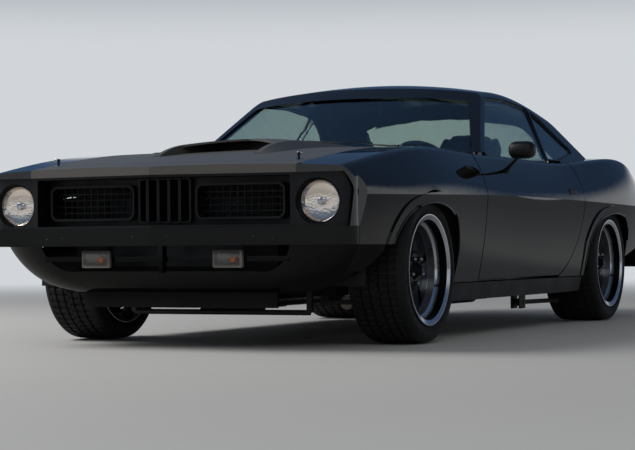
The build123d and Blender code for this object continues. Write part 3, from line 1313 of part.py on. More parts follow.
with BuildPart() as front_suspension:
    for side in (1, -1):
        add(arm_plate(side, RAIL_X[0], LOWER_ARM_Z))
        add(arm_plate(side, APRON_X[1], UPPER_ARM_Z))
        block(across(side, (RAIL_X[0], RAIL_X[0] + 40)), (FRONT_AXLE_Y - 60, FRONT_AXLE_Y + 60),
              (LOWER_ARM_Z[1], CROSS_LOW_Z))
        for low_z, high_z in ((LOWER_ARM_Z[1], LOWER_LUG_Z[1]), (UPPER_LUG_Z[0], UPPER_ARM_Z[0])):
            with Locations((side * WHEEL_X, FRONT_AXLE_Y, low_z)):
                Cylinder(BALL_R, high_z - low_z, align=ON_BASE)
        block((side * ROLL_BAR_X - ROLL_BAR_R, side * ROLL_BAR_X + ROLL_BAR_R),
              (ROLL_BAR_Y - ROLL_BAR_R, ROLL_BAR_Y + ROLL_BAR_R), (ROLL_BAR_Z, RAIL_Z[0]))
    with Locations(Plane((0, ROLL_BAR_Y, ROLL_BAR_Z), z_dir=(1, 0, 0))):
        Cylinder(ROLL_BAR_R, 2 * ROLL_BAR_X)
save(front_suspension.part, "front_suspension")

# Knuckles turn on the ball pins, on the upright axis through the wheel's middle
UPRIGHT_X = (WHEEL_X - 34, WHEEL_X - 8)
LUG_END_R = 19
CARRIER_R = 58
with BuildPart() as knuckle_left:
    block(UPRIGHT_X, (FRONT_AXLE_Y - 32, FRONT_AXLE_Y + 32), (LOWER_LUG_Z[0], UPPER_LUG_Z[1]))
    with Locations(Plane((UPRIGHT_X[0], FRONT_AXLE_Y, TYRE_R), z_dir=(1, 0, 0))):
        Cylinder(CARRIER_R, WHEEL_X + HUB_INNER - PANEL_GAP - UPRIGHT_X[0], align=ON_BASE)
        Cylinder(STUB_R, WHEEL_X + STUB_END - UPRIGHT_X[0], align=ON_BASE)
    for low_z, high_z in (LOWER_LUG_Z, UPPER_LUG_Z):
        with BuildSketch(Plane.XY.offset(low_z)):
            with Locations((WHEEL_X, FRONT_AXLE_Y)):
                Circle(LUG_END_R)
            with Locations(((UPRIGHT_X[0] + WHEEL_X) / 2, FRONT_AXLE_Y)):
                Rectangle(WHEEL_X - UPRIGHT_X[0], 2 * LUG_END_R)
        extrude(amount=high_z - low_z)
        with Locations((WHEEL_X, FRONT_AXLE_Y, low_z)):
            Cylinder(BALL_R + RUN_FIT, high_z - low_z, align=ON_BASE,
                     mode=Mode.SUBTRACT)
save(knuckle_left.part, "knuckle_left")

with BuildPart() as knuckle_right:
    mirror(knuckle_left.part, about=Plane.YZ)
save(knuckle_right.part, "knuckle_right")

# Mirrors on short stalks from the doors
MIRROR = {"x": 1000, "y": -497, "z": 890, "wide": 130, "high": 84, "round": 34, "deep": 46}
with BuildPart() as mirror_left:
    with BuildSketch(Plane((MIRROR["x"], MIRROR["y"], MIRROR["z"]), x_dir=(1, 0, 0), z_dir=(0, -1, 0))):
        RectangleRounded(MIRROR["wide"], MIRROR["high"], MIRROR["round"])
    extrude(amount=MIRROR["deep"], both=True)
    chamfer(mirror_left.faces().sort_by(Axis.Y)[0].edges(), length=20, length2=30)
    with BuildSketch(Plane((960, MIRROR["y"], 848), x_dir=(0, 1, 0), z_dir=(-0.8, 0, -0.35))):
        Ellipse(26, 13)
    extrude(amount=110)
    add(door_left.part, mode=Mode.SUBTRACT)
save(mirror_left.part, "mirror_left")

with BuildPart() as mirror_right:
    mirror(mirror_left.part, about=Plane.YZ)
save(mirror_right.part, "mirror_right")
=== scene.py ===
"""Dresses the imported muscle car: finishes, soft and small pieces, studio and camera."""

import json
import logging
import math
from collections.abc import Callable
from dataclasses import dataclass, field
from enum import Enum

import bmesh
import bpy
from mathutils import Matrix, Vector

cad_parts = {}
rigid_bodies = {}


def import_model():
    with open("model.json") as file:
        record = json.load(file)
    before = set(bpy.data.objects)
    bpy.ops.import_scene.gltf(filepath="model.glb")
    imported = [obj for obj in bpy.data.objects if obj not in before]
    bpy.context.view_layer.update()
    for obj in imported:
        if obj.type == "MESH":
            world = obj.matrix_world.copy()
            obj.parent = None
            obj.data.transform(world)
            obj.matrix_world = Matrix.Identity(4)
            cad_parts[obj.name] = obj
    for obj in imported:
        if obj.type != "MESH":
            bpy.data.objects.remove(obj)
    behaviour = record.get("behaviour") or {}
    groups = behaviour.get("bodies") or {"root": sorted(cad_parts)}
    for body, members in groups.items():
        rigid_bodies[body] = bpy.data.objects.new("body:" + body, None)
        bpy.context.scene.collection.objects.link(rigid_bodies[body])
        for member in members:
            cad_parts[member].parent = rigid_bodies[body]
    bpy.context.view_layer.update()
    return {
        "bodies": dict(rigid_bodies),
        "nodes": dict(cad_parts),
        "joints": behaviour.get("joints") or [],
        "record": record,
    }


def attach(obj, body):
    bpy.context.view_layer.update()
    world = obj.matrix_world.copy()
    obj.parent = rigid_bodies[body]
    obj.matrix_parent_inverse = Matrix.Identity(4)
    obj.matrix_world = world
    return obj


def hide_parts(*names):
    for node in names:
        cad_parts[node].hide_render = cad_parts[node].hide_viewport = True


LOG = logging.getLogger("car")
MM = 0.001
MIRROR = Matrix.Scale(-1.0, 4, (1.0, 0.0, 0.0))
LEFT = (1.0, 0.0, 0.0)
FORWARDS = (0.0, -1.0, 0.0)
BACKWARDS = (0.0, 1.0, 0.0)
UPWARDS = (0.0, 0.0, 1.0)
DOWNWARDS = (0.0, 0.0, -1.0)
DOORS = ("door_left", "door_right")
Piece = bpy.types.Object
Point = tuple[float, float, float]
Outline = tuple[tuple[float, float], ...]


class Pick(Enum):
    """What an edit-mode selection takes."""

    VERT = "VERT"
    EDGE = "EDGE"
    FACE = "FACE"


class Side(Enum):
    """The car's two sides, by the sign of X."""

    LEFT = 1
    RIGHT = -1


def linear(code: str) -> tuple[float, float, float, float]:
    """Turns an sRGB hex colour into Blender's linear colour.

    Args:
        code: Six hex digits, with or without a leading hash.

    Returns:
        Red, green, blue and an alpha of one.
    """
    digits = code.lstrip("#")
    parts = [int(digits[i:i + 2], 16) / 255 for i in (0, 2, 4)]
    values = [p / 12.92 if p <= 0.04045 else ((p + 0.055) / 1.055) ** 2.4 for p in parts]
    return (values[0], values[1], values[2], 1.0)


def add_node(tree: bpy.types.NodeTree, kind: str, inputs: dict | None = None,
             **settings: object) -> bpy.types.Node:
    """Adds one shader node with its settings, values and links.

    Args:
        tree: The node tree that gets the node.
        kind: Blender's type name of the node.
        inputs: Socket name or number to a value or to another node's output.
        **settings: Properties of the node.

    Returns:
        The new node.
    """
    node = tree.nodes.new(kind)
    for key, value in settings.items():
        setattr(node, key, value)
    for key, value in (inputs or {}).items():
        if isinstance(value, bpy.types.NodeSocket):
            tree.links.new(value, node.inputs[key])
        else:
            node.inputs[key].default_value = value
    return node


def noise(tree: bpy.types.NodeTree, place: bpy.types.NodeSocket, scale: float, detail: float,
          **inputs: float) -> bpy.types.NodeSocket:
    """Adds a noise texture, by patches in a metre and finer layers, and gives its grey value."""
    return add_node(tree, "ShaderNodeTexNoise",
                    {"Vector": place, "Scale": scale, "Detail": detail, **inputs}).outputs["Fac"]


def calculated(tree: bpy.types.NodeTree, operation: str, a: object, b: object) -> bpy.types.NodeSocket:
    """Adds a Math node and gives its result."""
    return add_node(tree, "ShaderNodeMath", {0: a, 1: b}, operation=operation).outputs[0]


def blended(tree: bpy.types.NodeTree, factor: bpy.types.NodeSocket, first: str,
            second: str) -> bpy.types.NodeSocket:
    """Adds a mix of two sRGB colours and gives its result."""
    return add_node(tree, "ShaderNodeMix", {"Factor": factor, "A": linear(first), "B": linear(second)},
                    data_type="RGBA").outputs["Result"]


def eased(tree: bpy.types.NodeTree, value: bpy.types.NodeSocket,
          span: tuple[float, float]) -> bpy.types.NodeSocket:
    """Adds a soft step from nothing to one between two values, and gives its result."""
    return add_node(tree, "ShaderNodeMapRange", {"Value": value, "From Min": span[0], "From Max": span[1]},
                    interpolation_type="SMOOTHSTEP").outputs["Result"]


def bumped(tree: bpy.types.NodeTree, height: bpy.types.NodeSocket, depth_mm: float,
           **inputs: bpy.types.NodeSocket) -> bpy.types.NodeSocket:
    """Adds a Bump node for a relief this many millimetres deep, and gives its normal."""
    return add_node(tree, "ShaderNodeBump",
                    {"Height": height, "Strength": 1.0, "Distance": depth_mm * MM, **inputs}
                    ).outputs["Normal"]


def ended(tree: bpy.types.NodeTree, inputs: dict) -> None:
    """Ends a material with a Principled shader, its inputs and the material's output."""
    shader = add_node(tree, "ShaderNodeBsdfPrincipled", inputs)
    add_node(tree, "ShaderNodeOutputMaterial", {"Surface": shader.outputs["BSDF"]})


def blank_material(name: str) -> tuple[bpy.types.Material, bpy.types.NodeTree]:
    """Makes an empty node material.

    Args:
        name: The finish's name.

    Returns:
        The material and its node tree.
    """
    material = bpy.data.materials.new(name)
    material.use_nodes = True
    material.node_tree.nodes.clear()
    return material, material.node_tree


@dataclass(frozen=True)
class Surface:
    """One opaque finish with a fine grain and slow colour changes.

    Grain and drift are real sizes in millimetres: the width of one grain, and of one patch
    in which the colour and the gloss drift.
    """

    name: str
    colour: str
    other: str
    roughness: float
    metallic: float = 0.0
    coat: float = 0.0
    coat_roughness: float = 0.03
    grain_mm: float = 1.0
    grain_depth_mm: float = 0.05
    drift_mm: float = 120.0
    rough_spread: float = 0.08
    sheen: float = 0.0
    specular: float = 0.5
    facet_mm: float = 0.0
    facet_depth_mm: float = 0.0

    def build(self) -> bpy.types.Material:
        """Makes the material.

        Returns:
            The new Blender material.
        """
        material, tree = blank_material(self.name)
        place = add_node(tree, "ShaderNodeTexCoord").outputs["Object"]
        drift = noise(tree, place, 1000 / self.drift_mm, 3.0, Roughness=0.55)
        grain = noise(tree, place, 1000 / self.grain_mm, 2.0, Roughness=0.5)
        rough = add_node(tree, "ShaderNodeMapRange", {"Value": drift, "From Min": 0.3, "From Max": 0.7,
                                                      "To Min": max(self.roughness - self.rough_spread, 0.02),
                                                      "To Max": min(self.roughness + self.rough_spread, 1.0)})
        normal = bumped(tree, grain, self.grain_depth_mm)
        if self.facet_mm:
            facets = add_node(tree, "ShaderNodeTexVoronoi", {"Vector": place, "Scale": 1000 / self.facet_mm})
            normal = bumped(tree, facets.outputs["Distance"], self.facet_depth_mm, Normal=normal)
        ended(tree, {"Base Color": blended(tree, drift, self.colour, self.other), "Metallic": self.metallic,
                     "Roughness": rough.outputs["Result"], "Coat Weight": self.coat,
                     "Coat Roughness": self.coat_roughness, "Sheen Weight": self.sheen,
                     "Specular IOR Level": self.specular, "Normal": normal})
        return material


# The body's clear-coated enamel: near-black graphite that mirrors the room sharply
GLOSS_PAINT = Surface("clear_coated_graphite_enamel", "#0f0f10", "#131313", 0.45, coat=1.0,
                      coat_roughness=0.02, grain_mm=1.6, grain_depth_mm=0.003, drift_mm=260,
                      rough_spread=0.03, specular=0.0)
# The bumpers and the chin: plain black enamel, polished less than the body
BLACK_ENAMEL = Surface("black_bumper_enamel", "#070707", "#0a0a0a", 0.45, coat=0.32, coat_roughness=0.06,
                       grain_mm=1.6, grain_depth_mm=0.004, drift_mm=200, rough_spread=0.03, specular=0.0)
# The hood's lacquer: a greyer graphite with flake, dull against the body's mirror
SATIN_PAINT = Surface("satin_graphite_lacquer", "#5a5754", "#605e5a", 0.40, metallic=0.3,
                      grain_mm=1.4, grain_depth_mm=0.006, drift_mm=320, rough_spread=0.03, specular=0.3)
# Moulded black plastic with a fine grain
BLACK_TRIM = Surface("moulded_black_plastic", "#070707", "#0a0a0b", 0.45, grain_mm=1.8, grain_depth_mm=0.03,
                     specular=0.3)
# Interior vinyl: matt, with a coarse grain
INTERIOR = Surface("grained_interior_vinyl", "#101011", "#161516", 0.62, grain_mm=2.4, grain_depth_mm=0.12)
# Seat leather: soft black with pores
LEATHER = Surface("soft_black_leather", "#161518", "#1f1d1e", 0.48, grain_mm=2.0, grain_depth_mm=0.15,
                  sheen=0.15)
# Vulcanised rubber: matt, slightly brown and dusty
RUBBER = Surface("vulcanised_tyre_rubber", "#0c0c0c", "#131312", 0.7, grain_mm=2.2, grain_depth_mm=0.08,
                 drift_mm=60, specular=0.3)
# Extruded window rubber: black, a little shiny
GASKET = Surface("extruded_window_rubber", "#0a0a0a", "#101010", 0.38, grain_mm=2.0, grain_depth_mm=0.02)
# Painted chassis steel, dull with road dust
CHASSIS = Surface("dusty_chassis_paint", "#1a1a1b", "#2a2725", 0.55, metallic=0.2, grain_mm=3.0,
                  grain_depth_mm=0.1, drift_mm=70)
# Sprayed black undercoat: lumpy and matt
UNDERCOAT = Surface("sprayed_undercoat", "#0b0b0b", "#131211", 0.85, grain_mm=5.0, grain_depth_mm=0.5)
# Cast iron with engine enamel
CAST_IRON = Surface("enamelled_cast_iron", "#1a1b1c", "#26262a", 0.5, metallic=0.3, grain_mm=3.0,
                    grain_depth_mm=0.2)
# Stainless exhaust tube, straw-tinted by heat
EXHAUST = Surface("heat_tinted_stainless", "#8d8880", "#6f665b", 0.32, metallic=1.0, grain_mm=2.0,
                  grain_depth_mm=0.02, drift_mm=150)
# Dull aluminium of the radiator
RADIATOR = Surface("dull_radiator_aluminium", "#3c3e41", "#2b2d30", 0.5, metallic=1.0, grain_mm=3.0,
                   grain_depth_mm=0.1)
# Tail lamps: moulded red acrylic
RED_LENS = Surface("moulded_red_acrylic", "#4a0606", "#600a0a", 0.12, coat=1.0, grain_mm=6.0,
                   grain_depth_mm=0.2)
# Polished chrome plate on rings, pins and clips
CHROME = Surface("polished_chrome_plate", "#c9ccd0", "#b9bdc2", 0.08, metallic=1.0, grain_mm=2.0,
                 grain_depth_mm=0.002, rough_spread=0.03)
# Vapour-coated reflector: very bright, a little warm, pressed in 11 mm facets
REFLECTOR = Surface("vapour_coated_reflector", "#fff1e2", "#f6e6d6", 0.16, metallic=1.0, grain_mm=7.0,
                    grain_depth_mm=0.05, rough_spread=0.06, facet_mm=11.0, facet_depth_mm=0.6)
# Trays of the parking lamps: satin silver lacquer, a little warm
TRAY_SILVER = Surface("satin_silver_lamp_tray", "#8d8780", "#7a756f", 0.35, metallic=0.4, grain_mm=2.0,
                      grain_depth_mm=0.02)
# Amber glass of the parking bulb
AMBER = Surface("dipped_amber_bulb", "#ff8420", "#f06d10", 0.15, coat=1.0, grain_mm=3.0, grain_depth_mm=0.01)
# Gauge faces: printed satin black card
GAUGE = Surface("satin_gauge_face", "#16171a", "#1b1c20", 0.45, grain_mm=2.0, grain_depth_mm=0.01)
# Zinc-plated steel of nuts and bolts
ZINC = Surface("zinc_plated_steel", "#8e9196", "#7b7e83", 0.3, metallic=1.0, grain_mm=2.0,
               grain_depth_mm=0.01)


@dataclass(frozen=True)
class Glass:
    """Clear glass or acrylic: its tint, and flutes across the lens in millimetres."""

    name: str
    tint: str
    flute_mm: float = 0.0
    flute_depth_mm: float = 0.0

    def build(self) -> bpy.types.Material:
        """Makes the material.

        Returns:
            The new Blender material.
        """
        material, tree = blank_material(self.name)
        place = add_node(tree, "ShaderNodeTexCoord").outputs["Object"]
        rough = add_node(tree, "ShaderNodeMapRange", {"Value": noise(tree, place, 6.0, 4.0), "From Min": 0.4,
                                                      "From Max": 0.8, "To Min": 0.0, "To Max": 0.03})
        inputs = {"Base Color": linear(self.tint), "Roughness": rough.outputs["Result"], "IOR": 1.5,
                  "Transmission Weight": 1.0}
        if self.flute_mm:
            # A wave repeats 10 / pi times its scale in a metre
            flutes = add_node(tree, "ShaderNodeTexWave",
                              {"Vector": place, "Scale": math.pi / 10 / (self.flute_mm * MM),
                               "Distortion": 0.0},
                              wave_type="BANDS", bands_direction="X", wave_profile="SIN")
            inputs["Normal"] = bumped(tree, flutes.outputs["Fac"], self.flute_depth_mm)
        ended(tree, inputs)
        return material


# Laminated window glass with a grey-green tint
WINDOW = Glass("laminated_window_glass", "#c9d8d0")
# Pressed headlamp glass, clear, with upright flutes 9 mm apart
LAMP_GLASS = Glass("pressed_headlamp_glass", "#fbfcfd", flute_mm=9.0, flute_depth_mm=0.5)
# Clear acrylic of the parking lamps, with flutes 5 mm apart
CLEAR_LENS = Glass("moulded_clear_acrylic", "#dcdad4", flute_mm=5.0, flute_depth_mm=0.25)


@dataclass(frozen=True)
class WheelMetal:
    """Wheel alloy: a bright turned lip and step ring, and a dark satin centre and barrel.

    The finish follows the distance from the wheel's own axis, in Object coordinates. The roughness is that of
    the dark and of the bright metal.
    """

    name: str
    axle_y: float
    axle_z: float
    lip_mm: float = 222.0
    step_mm: tuple[float, float] = (201.0, 217.0)
    bright: str = "#b9bdc2"
    dark: str = "#131417"
    roughness: tuple[float, float] = (0.38, 0.16)

    def build(self) -> bpy.types.Material:
        """Makes the material.

        Returns:
            The new Blender material.
        """
        material, tree = blank_material(self.name)
        place = add_node(tree, "ShaderNodeTexCoord").outputs["Object"]
        split = add_node(tree, "ShaderNodeSeparateXYZ", {"Vector": place})
        flat = add_node(tree, "ShaderNodeCombineXYZ",
                        {"X": calculated(tree, "SUBTRACT", split.outputs["Y"], self.axle_y),
                         "Y": calculated(tree, "SUBTRACT", split.outputs["Z"], self.axle_z)})
        radius = add_node(tree, "ShaderNodeVectorMath", {0: flat.outputs[0]},
                          operation="LENGTH").outputs["Value"]
        lip = calculated(tree, "GREATER_THAN", radius, self.lip_mm * MM)
        step = calculated(tree, "MULTIPLY", calculated(tree, "GREATER_THAN", radius, self.step_mm[0] * MM),
                          calculated(tree, "LESS_THAN", radius, self.step_mm[1] * MM))
        shine = calculated(tree, "MAXIMUM", lip, step)
        rough = add_node(tree, "ShaderNodeMapRange", {"Value": shine, "To Min": self.roughness[0],
                                                      "To Max": self.roughness[1]})
        # Turning marks 2 mm apart, drawn coarser than real ones so that they show
        ended(tree, {"Base Color": blended(tree, shine, self.dark, self.bright), "Metallic": 0.9,
                     "Roughness": rough.outputs["Result"],
                     "Normal": bumped(tree, noise(tree, place, 500.0, 2.0), 0.02)})
        return material


@dataclass
class Palette:
    """Every finish, built once and handed out by its finish."""

    built: dict[str, bpy.types.Material] = field(default_factory=dict)

    def of(self, finish: "Surface | Glass | WheelMetal") -> bpy.types.Material:
        """Gives the finish's material, and makes it the first time.

        Args:
            finish: One of the finishes above.

        Returns:
            The Blender material.
        """
        if finish.name not in self.built:
            self.built[finish.name] = finish.build()
        return self.built[finish.name]


def fresh() -> None:
    """Leaves edit mode and deselects everything."""
    active = bpy.context.view_layer.objects.active
    if active is not None and active.mode != "OBJECT":
        bpy.ops.object.mode_set(mode="OBJECT")
    bpy.ops.object.select_all(action="DESELECT")


def choose(piece: Piece) -> None:
    """Selects one piece alone and makes it the active one."""
    fresh()
    piece.select_set(True)
    bpy.context.view_layer.objects.active = piece


def linked(name: str, data: bpy.types.ID) -> Piece:
    """Puts an object that shows the data into the scene."""
    piece = bpy.data.objects.new(name, data)
    bpy.context.scene.collection.objects.link(piece)
    return piece


def enter(piece: Piece) -> None:
    """Opens one piece in edit mode with all of it selected."""
    choose(piece)
    bpy.ops.object.mode_set(mode="EDIT")
    bpy.ops.mesh.select_mode(type="VERT")
    bpy.ops.mesh.select_all(action="SELECT")


def pick(piece: Piece, kind: Pick, test: Callable[[object], bool]) -> None:
    """Selects, in edit mode, the elements for which the test holds.

    Args:
        piece: The mesh object in edit mode.
        kind: Vertices, edges or faces.
        test: Says yes for an element that is taken.
    """
    bpy.ops.mesh.select_mode(type=kind.value)
    bpy.ops.mesh.select_all(action="DESELECT")
    mesh = bmesh.from_edit_mesh(piece.data)
    pool = {Pick.VERT: mesh.verts, Pick.EDGE: mesh.edges, Pick.FACE: mesh.faces}[kind]
    chosen = [item for item in pool if test(item)]
    for item in chosen:
        item.select_set(True)
    mesh.select_flush_mode()
    bmesh.update_edit_mesh(piece.data)


def pick_facing(piece: Piece, axis: Point, least: float = 0.98) -> None:
    """Selects in edit mode the faces that look along an axis; below 0.966 a block's bevels come too."""
    pick(piece, Pick.FACE, lambda face: face.normal.dot(Vector(axis)) > least)


def extrude(move: Point) -> None:
    """Extrudes the selection by a move in metres."""
    bpy.ops.mesh.extrude_region_move(TRANSFORM_OT_translate={"value": move})


def mm(x: float, y: float, z: float) -> Vector:
    """Turns a place in millimetres into one in metres."""
    return Vector((x, y, z)) * MM


def stretched(piece: Piece, size: Point) -> Piece:
    """Resizes a whole piece in edit mode, by a factor along each axis."""
    enter(piece)
    bpy.ops.transform.resize(value=size)
    fresh()
    return piece


def tapered(piece: Piece, axis: Point, size: Point, least: float = 0.98) -> None:
    """Resizes the side of a piece that looks along an axis.

    Args:
        piece: The piece.
        axis: Where that side looks.
        size: The factor along each axis.
        least: The least cosine between a face's normal and the axis.
    """
    enter(piece)
    pick_facing(piece, axis, least)
    bpy.ops.transform.resize(value=size)
    fresh()


def sheet(wide: float, high: float, columns: int, rows: int) -> Piece:
    """A flat grid at the origin, its width and height in millimetres."""
    fresh()
    bpy.ops.mesh.primitive_grid_add(x_subdivisions=columns, y_subdivisions=rows, size=1.0)
    return stretched(bpy.context.object, (wide * MM, high * MM, 1.0))


def turned(points: list[tuple[float, float]], segments: int) -> Piece:
    """Turns a profile about Z: a circle that is extruded and resized ring by ring.

    Args:
        points: Radius and height of each ring, in millimetres. A radius of zero makes a pole.
        segments: Faces round the turn.

    Returns:
        The piece, at the origin, with its doubles merged.
    """
    fresh()
    rings = [(max(radius, 0.001) * MM, height * MM) for radius, height in points]
    bpy.ops.mesh.primitive_circle_add(vertices=segments, radius=rings[0][0], location=(0.0, 0.0, 0.0))
    piece = bpy.context.object
    enter(piece)
    bpy.ops.transform.translate(value=(0.0, 0.0, rings[0][1]))
    for (radius, height), (wider, higher) in zip(rings, rings[1:]):
        extrude((0.0, 0.0, higher - height))
        bpy.ops.transform.resize(value=(wider / radius, wider / radius, 1.0))
    bpy.ops.mesh.select_all(action="SELECT")
    bpy.ops.mesh.remove_doubles(threshold=0.00005)
    fresh()
    return piece


def slab(low: Point, high: Point, bevel: float) -> Piece:
    """A block between two corners with its edges bevelled in edit mode.

    Args:
        low: The lowest corner, in millimetres.
        high: The highest corner, in millimetres.
        bevel: The bevel's width, in millimetres.

    Returns:
        The piece, still unnamed.
    """
    fresh()
    size = [(b - a) * MM for a, b in zip(low, high)]
    place = [(a + b) / 2 * MM for a, b in zip(low, high)]
    bpy.ops.mesh.primitive_cube_add(size=1.0, location=place)
    piece = bpy.context.object
    enter(piece)
    bpy.ops.transform.resize(value=size)
    bpy.ops.mesh.bevel(offset=bevel * MM, segments=3, affect="EDGES")
    fresh()
    return piece


def placed(piece: Piece, matrix: Matrix) -> Piece:
    """Moves a piece by a matrix and bakes the place into its mesh, with its object at the origin."""
    choose(piece)
    piece.matrix_world = matrix @ piece.matrix_world
    bpy.ops.object.transform_apply(location=True, rotation=True, scale=True)
    return piece


def twin(piece: Piece, matrix: Matrix) -> Piece:
    """Copies a piece with its own mesh and places the copy by a matrix."""
    choose(piece)
    bpy.ops.object.duplicate(linked=False)
    return placed(bpy.context.object, matrix)


def joined(pieces: list[Piece]) -> Piece:
    """Joins pieces of one finish into the first of them.

    Args:
        pieces: Two or more mesh objects.

    Returns:
        The joined piece.
    """
    fresh()
    for piece in pieces:
        piece.select_set(True)
    bpy.context.view_layer.objects.active = pieces[0]
    bpy.ops.object.join()
    return pieces[0]


def applied(piece: Piece, kind: str, **settings: object) -> Piece:
    """Adds one modifier, sets it and applies it.

    Args:
        piece: The piece.
        kind: Blender's modifier type.
        **settings: The modifier's properties.

    Returns:
        The same piece.
    """
    choose(piece)
    modifier = piece.modifiers.new(kind.lower(), kind)
    for key, value in settings.items():
        setattr(modifier, key, value)
    bpy.ops.object.modifier_apply(modifier=modifier.name)
    return piece


def along(axis: Point | Vector, place: Point | Vector, across: Point) -> Matrix:
    """The matrix that takes Z to an axis and X to a direction across it.

    Args:
        axis: Where the piece's own Z points.
        place: Its origin, in metres.
        across: Roughly where its own X points.

    Returns:
        The placing matrix.
    """
    up = Vector(axis).normalized()
    side = Vector(across)
    side = (side - up * side.dot(up)).normalized()
    turn = Matrix((side, up.cross(side), up)).transposed().to_4x4()
    return Matrix.Translation(place) @ turn


def edge_line(node: Piece, outward: Vector, least: float) -> Piece:
    """Copies a CAD node and keeps only the open edge of its outer faces.

    Args:
        node: The CAD node.
        outward: Where its outer faces look.
        least: The least cosine between an outer face's normal and that direction.

    Returns:
        A mesh of edges, in edit mode.
    """
    edge = linked("edge_line", node.data.copy())
    enter(edge)
    bpy.ops.mesh.remove_doubles(threshold=0.00002)
    pick(edge, Pick.FACE, lambda face: face.normal.dot(outward) < least)
    bpy.ops.mesh.delete(type="FACE")
    pick(edge, Pick.EDGE, lambda item: len(item.link_faces) != 1)
    bpy.ops.mesh.delete(type="EDGE")
    return edge


def corded(edge: Piece, radius: float) -> Piece:
    """Turns a mesh of edges into a round cord of a radius in millimetres."""
    choose(edge)
    bpy.ops.object.convert(target="CURVE")
    line = bpy.context.object
    line.data.bevel_depth = radius * MM
    line.data.bevel_resolution = 2
    bpy.ops.object.convert(target="MESH")
    return bpy.context.object


@dataclass
class Workshop:
    """Finishes pieces: names them, dresses them and hands them to the frame."""

    frame: dict
    palette: Palette = field(default_factory=Palette)

    def hand_over(self, piece: Piece, name: str, slot: str, finish: Surface | Glass, body: str = "body",
                  replaces: tuple[str, ...] = (), smooth_deg: float = 35.0, fill: float = 0.0) -> None:
        """Gives a finished piece its name, finish and body.

        Args:
            piece: The modelled piece.
            name: Its name.
            slot: The record's material slot; not used.
            finish: Its finish.
            body: The CAD body that it rides on.
            replaces: The CAD nodes that it stands for.
            smooth_deg: Edges flatter than this are shaded smooth.
            fill: How full a padded piece is, or nothing for any other piece; not used.
        """
        placed(piece, Matrix.Identity(4))
        enter(piece)
        bpy.ops.mesh.normals_make_consistent(inside=False)
        choose(piece)
        bpy.ops.object.shade_smooth_by_angle(angle=math.radians(smooth_deg))
        piece.name = name
        piece.data.name = name
        piece.data.materials.clear()
        piece.data.materials.append(self.palette.of(finish))
        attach(piece, body)
        if replaces:
            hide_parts(*replaces)
        LOG.info("made %s", name)

    def pair(self, piece: Piece, name: str, slot: str, finish: Surface | Glass,
             bodies: tuple[str, str] = ("body", "body"),
             replaces: tuple[tuple[str, ...], tuple[str, ...]] = ((), ()), fill: float = 0.0) -> None:
        """Hands over a left piece and its mirror image on the right.

        Args:
            piece: The left piece.
            name: Its name without the side.
            slot: The record's material slot.
            finish: Its finish.
            bodies: The left and the right body.
            replaces: The CAD nodes that the left and the right piece stand for.
            fill: How full a padded piece is, or nothing for any other piece.
        """
        placed(piece, Matrix.Identity(4))
        other = twin(piece, MIRROR)
        for item, side, body, nodes in zip((piece, other), ("_left", "_right"), bodies, replaces):
            self.hand_over(item, name + side, slot, finish, body, nodes, fill=fill)

    def seen_from(self, node: str, start: Vector, way: Point) -> tuple[Vector, Vector]:
        """Finds the first surface of a node on a line.

        Args:
            node: The CAD node's name.
            start: Where the line starts, in metres.
            way: Where it goes.

        Returns:
            The point and the surface's direction there.
        """
        hit, point, normal, _ = self.frame["nodes"][node].ray_cast(start, Vector(way))
        if not hit:
            raise RuntimeError(f"nothing of {node} lies on the line from {start}")
        return point, normal

    def top_of(self, node: str, x: float, y: float) -> tuple[Vector, Vector]:
        """Finds a node's upper surface, and its direction, at a place in plan in metres."""
        return self.seen_from(node, Vector((x, y, 3.0)), DOWNWARDS)


@dataclass
class Maker:
    """Makes one kind of piece. Each size and place in a maker is in millimetres."""

    shop: Workshop

    def build(self) -> None:
        """Makes the pieces and hands them over."""
        raise NotImplementedError


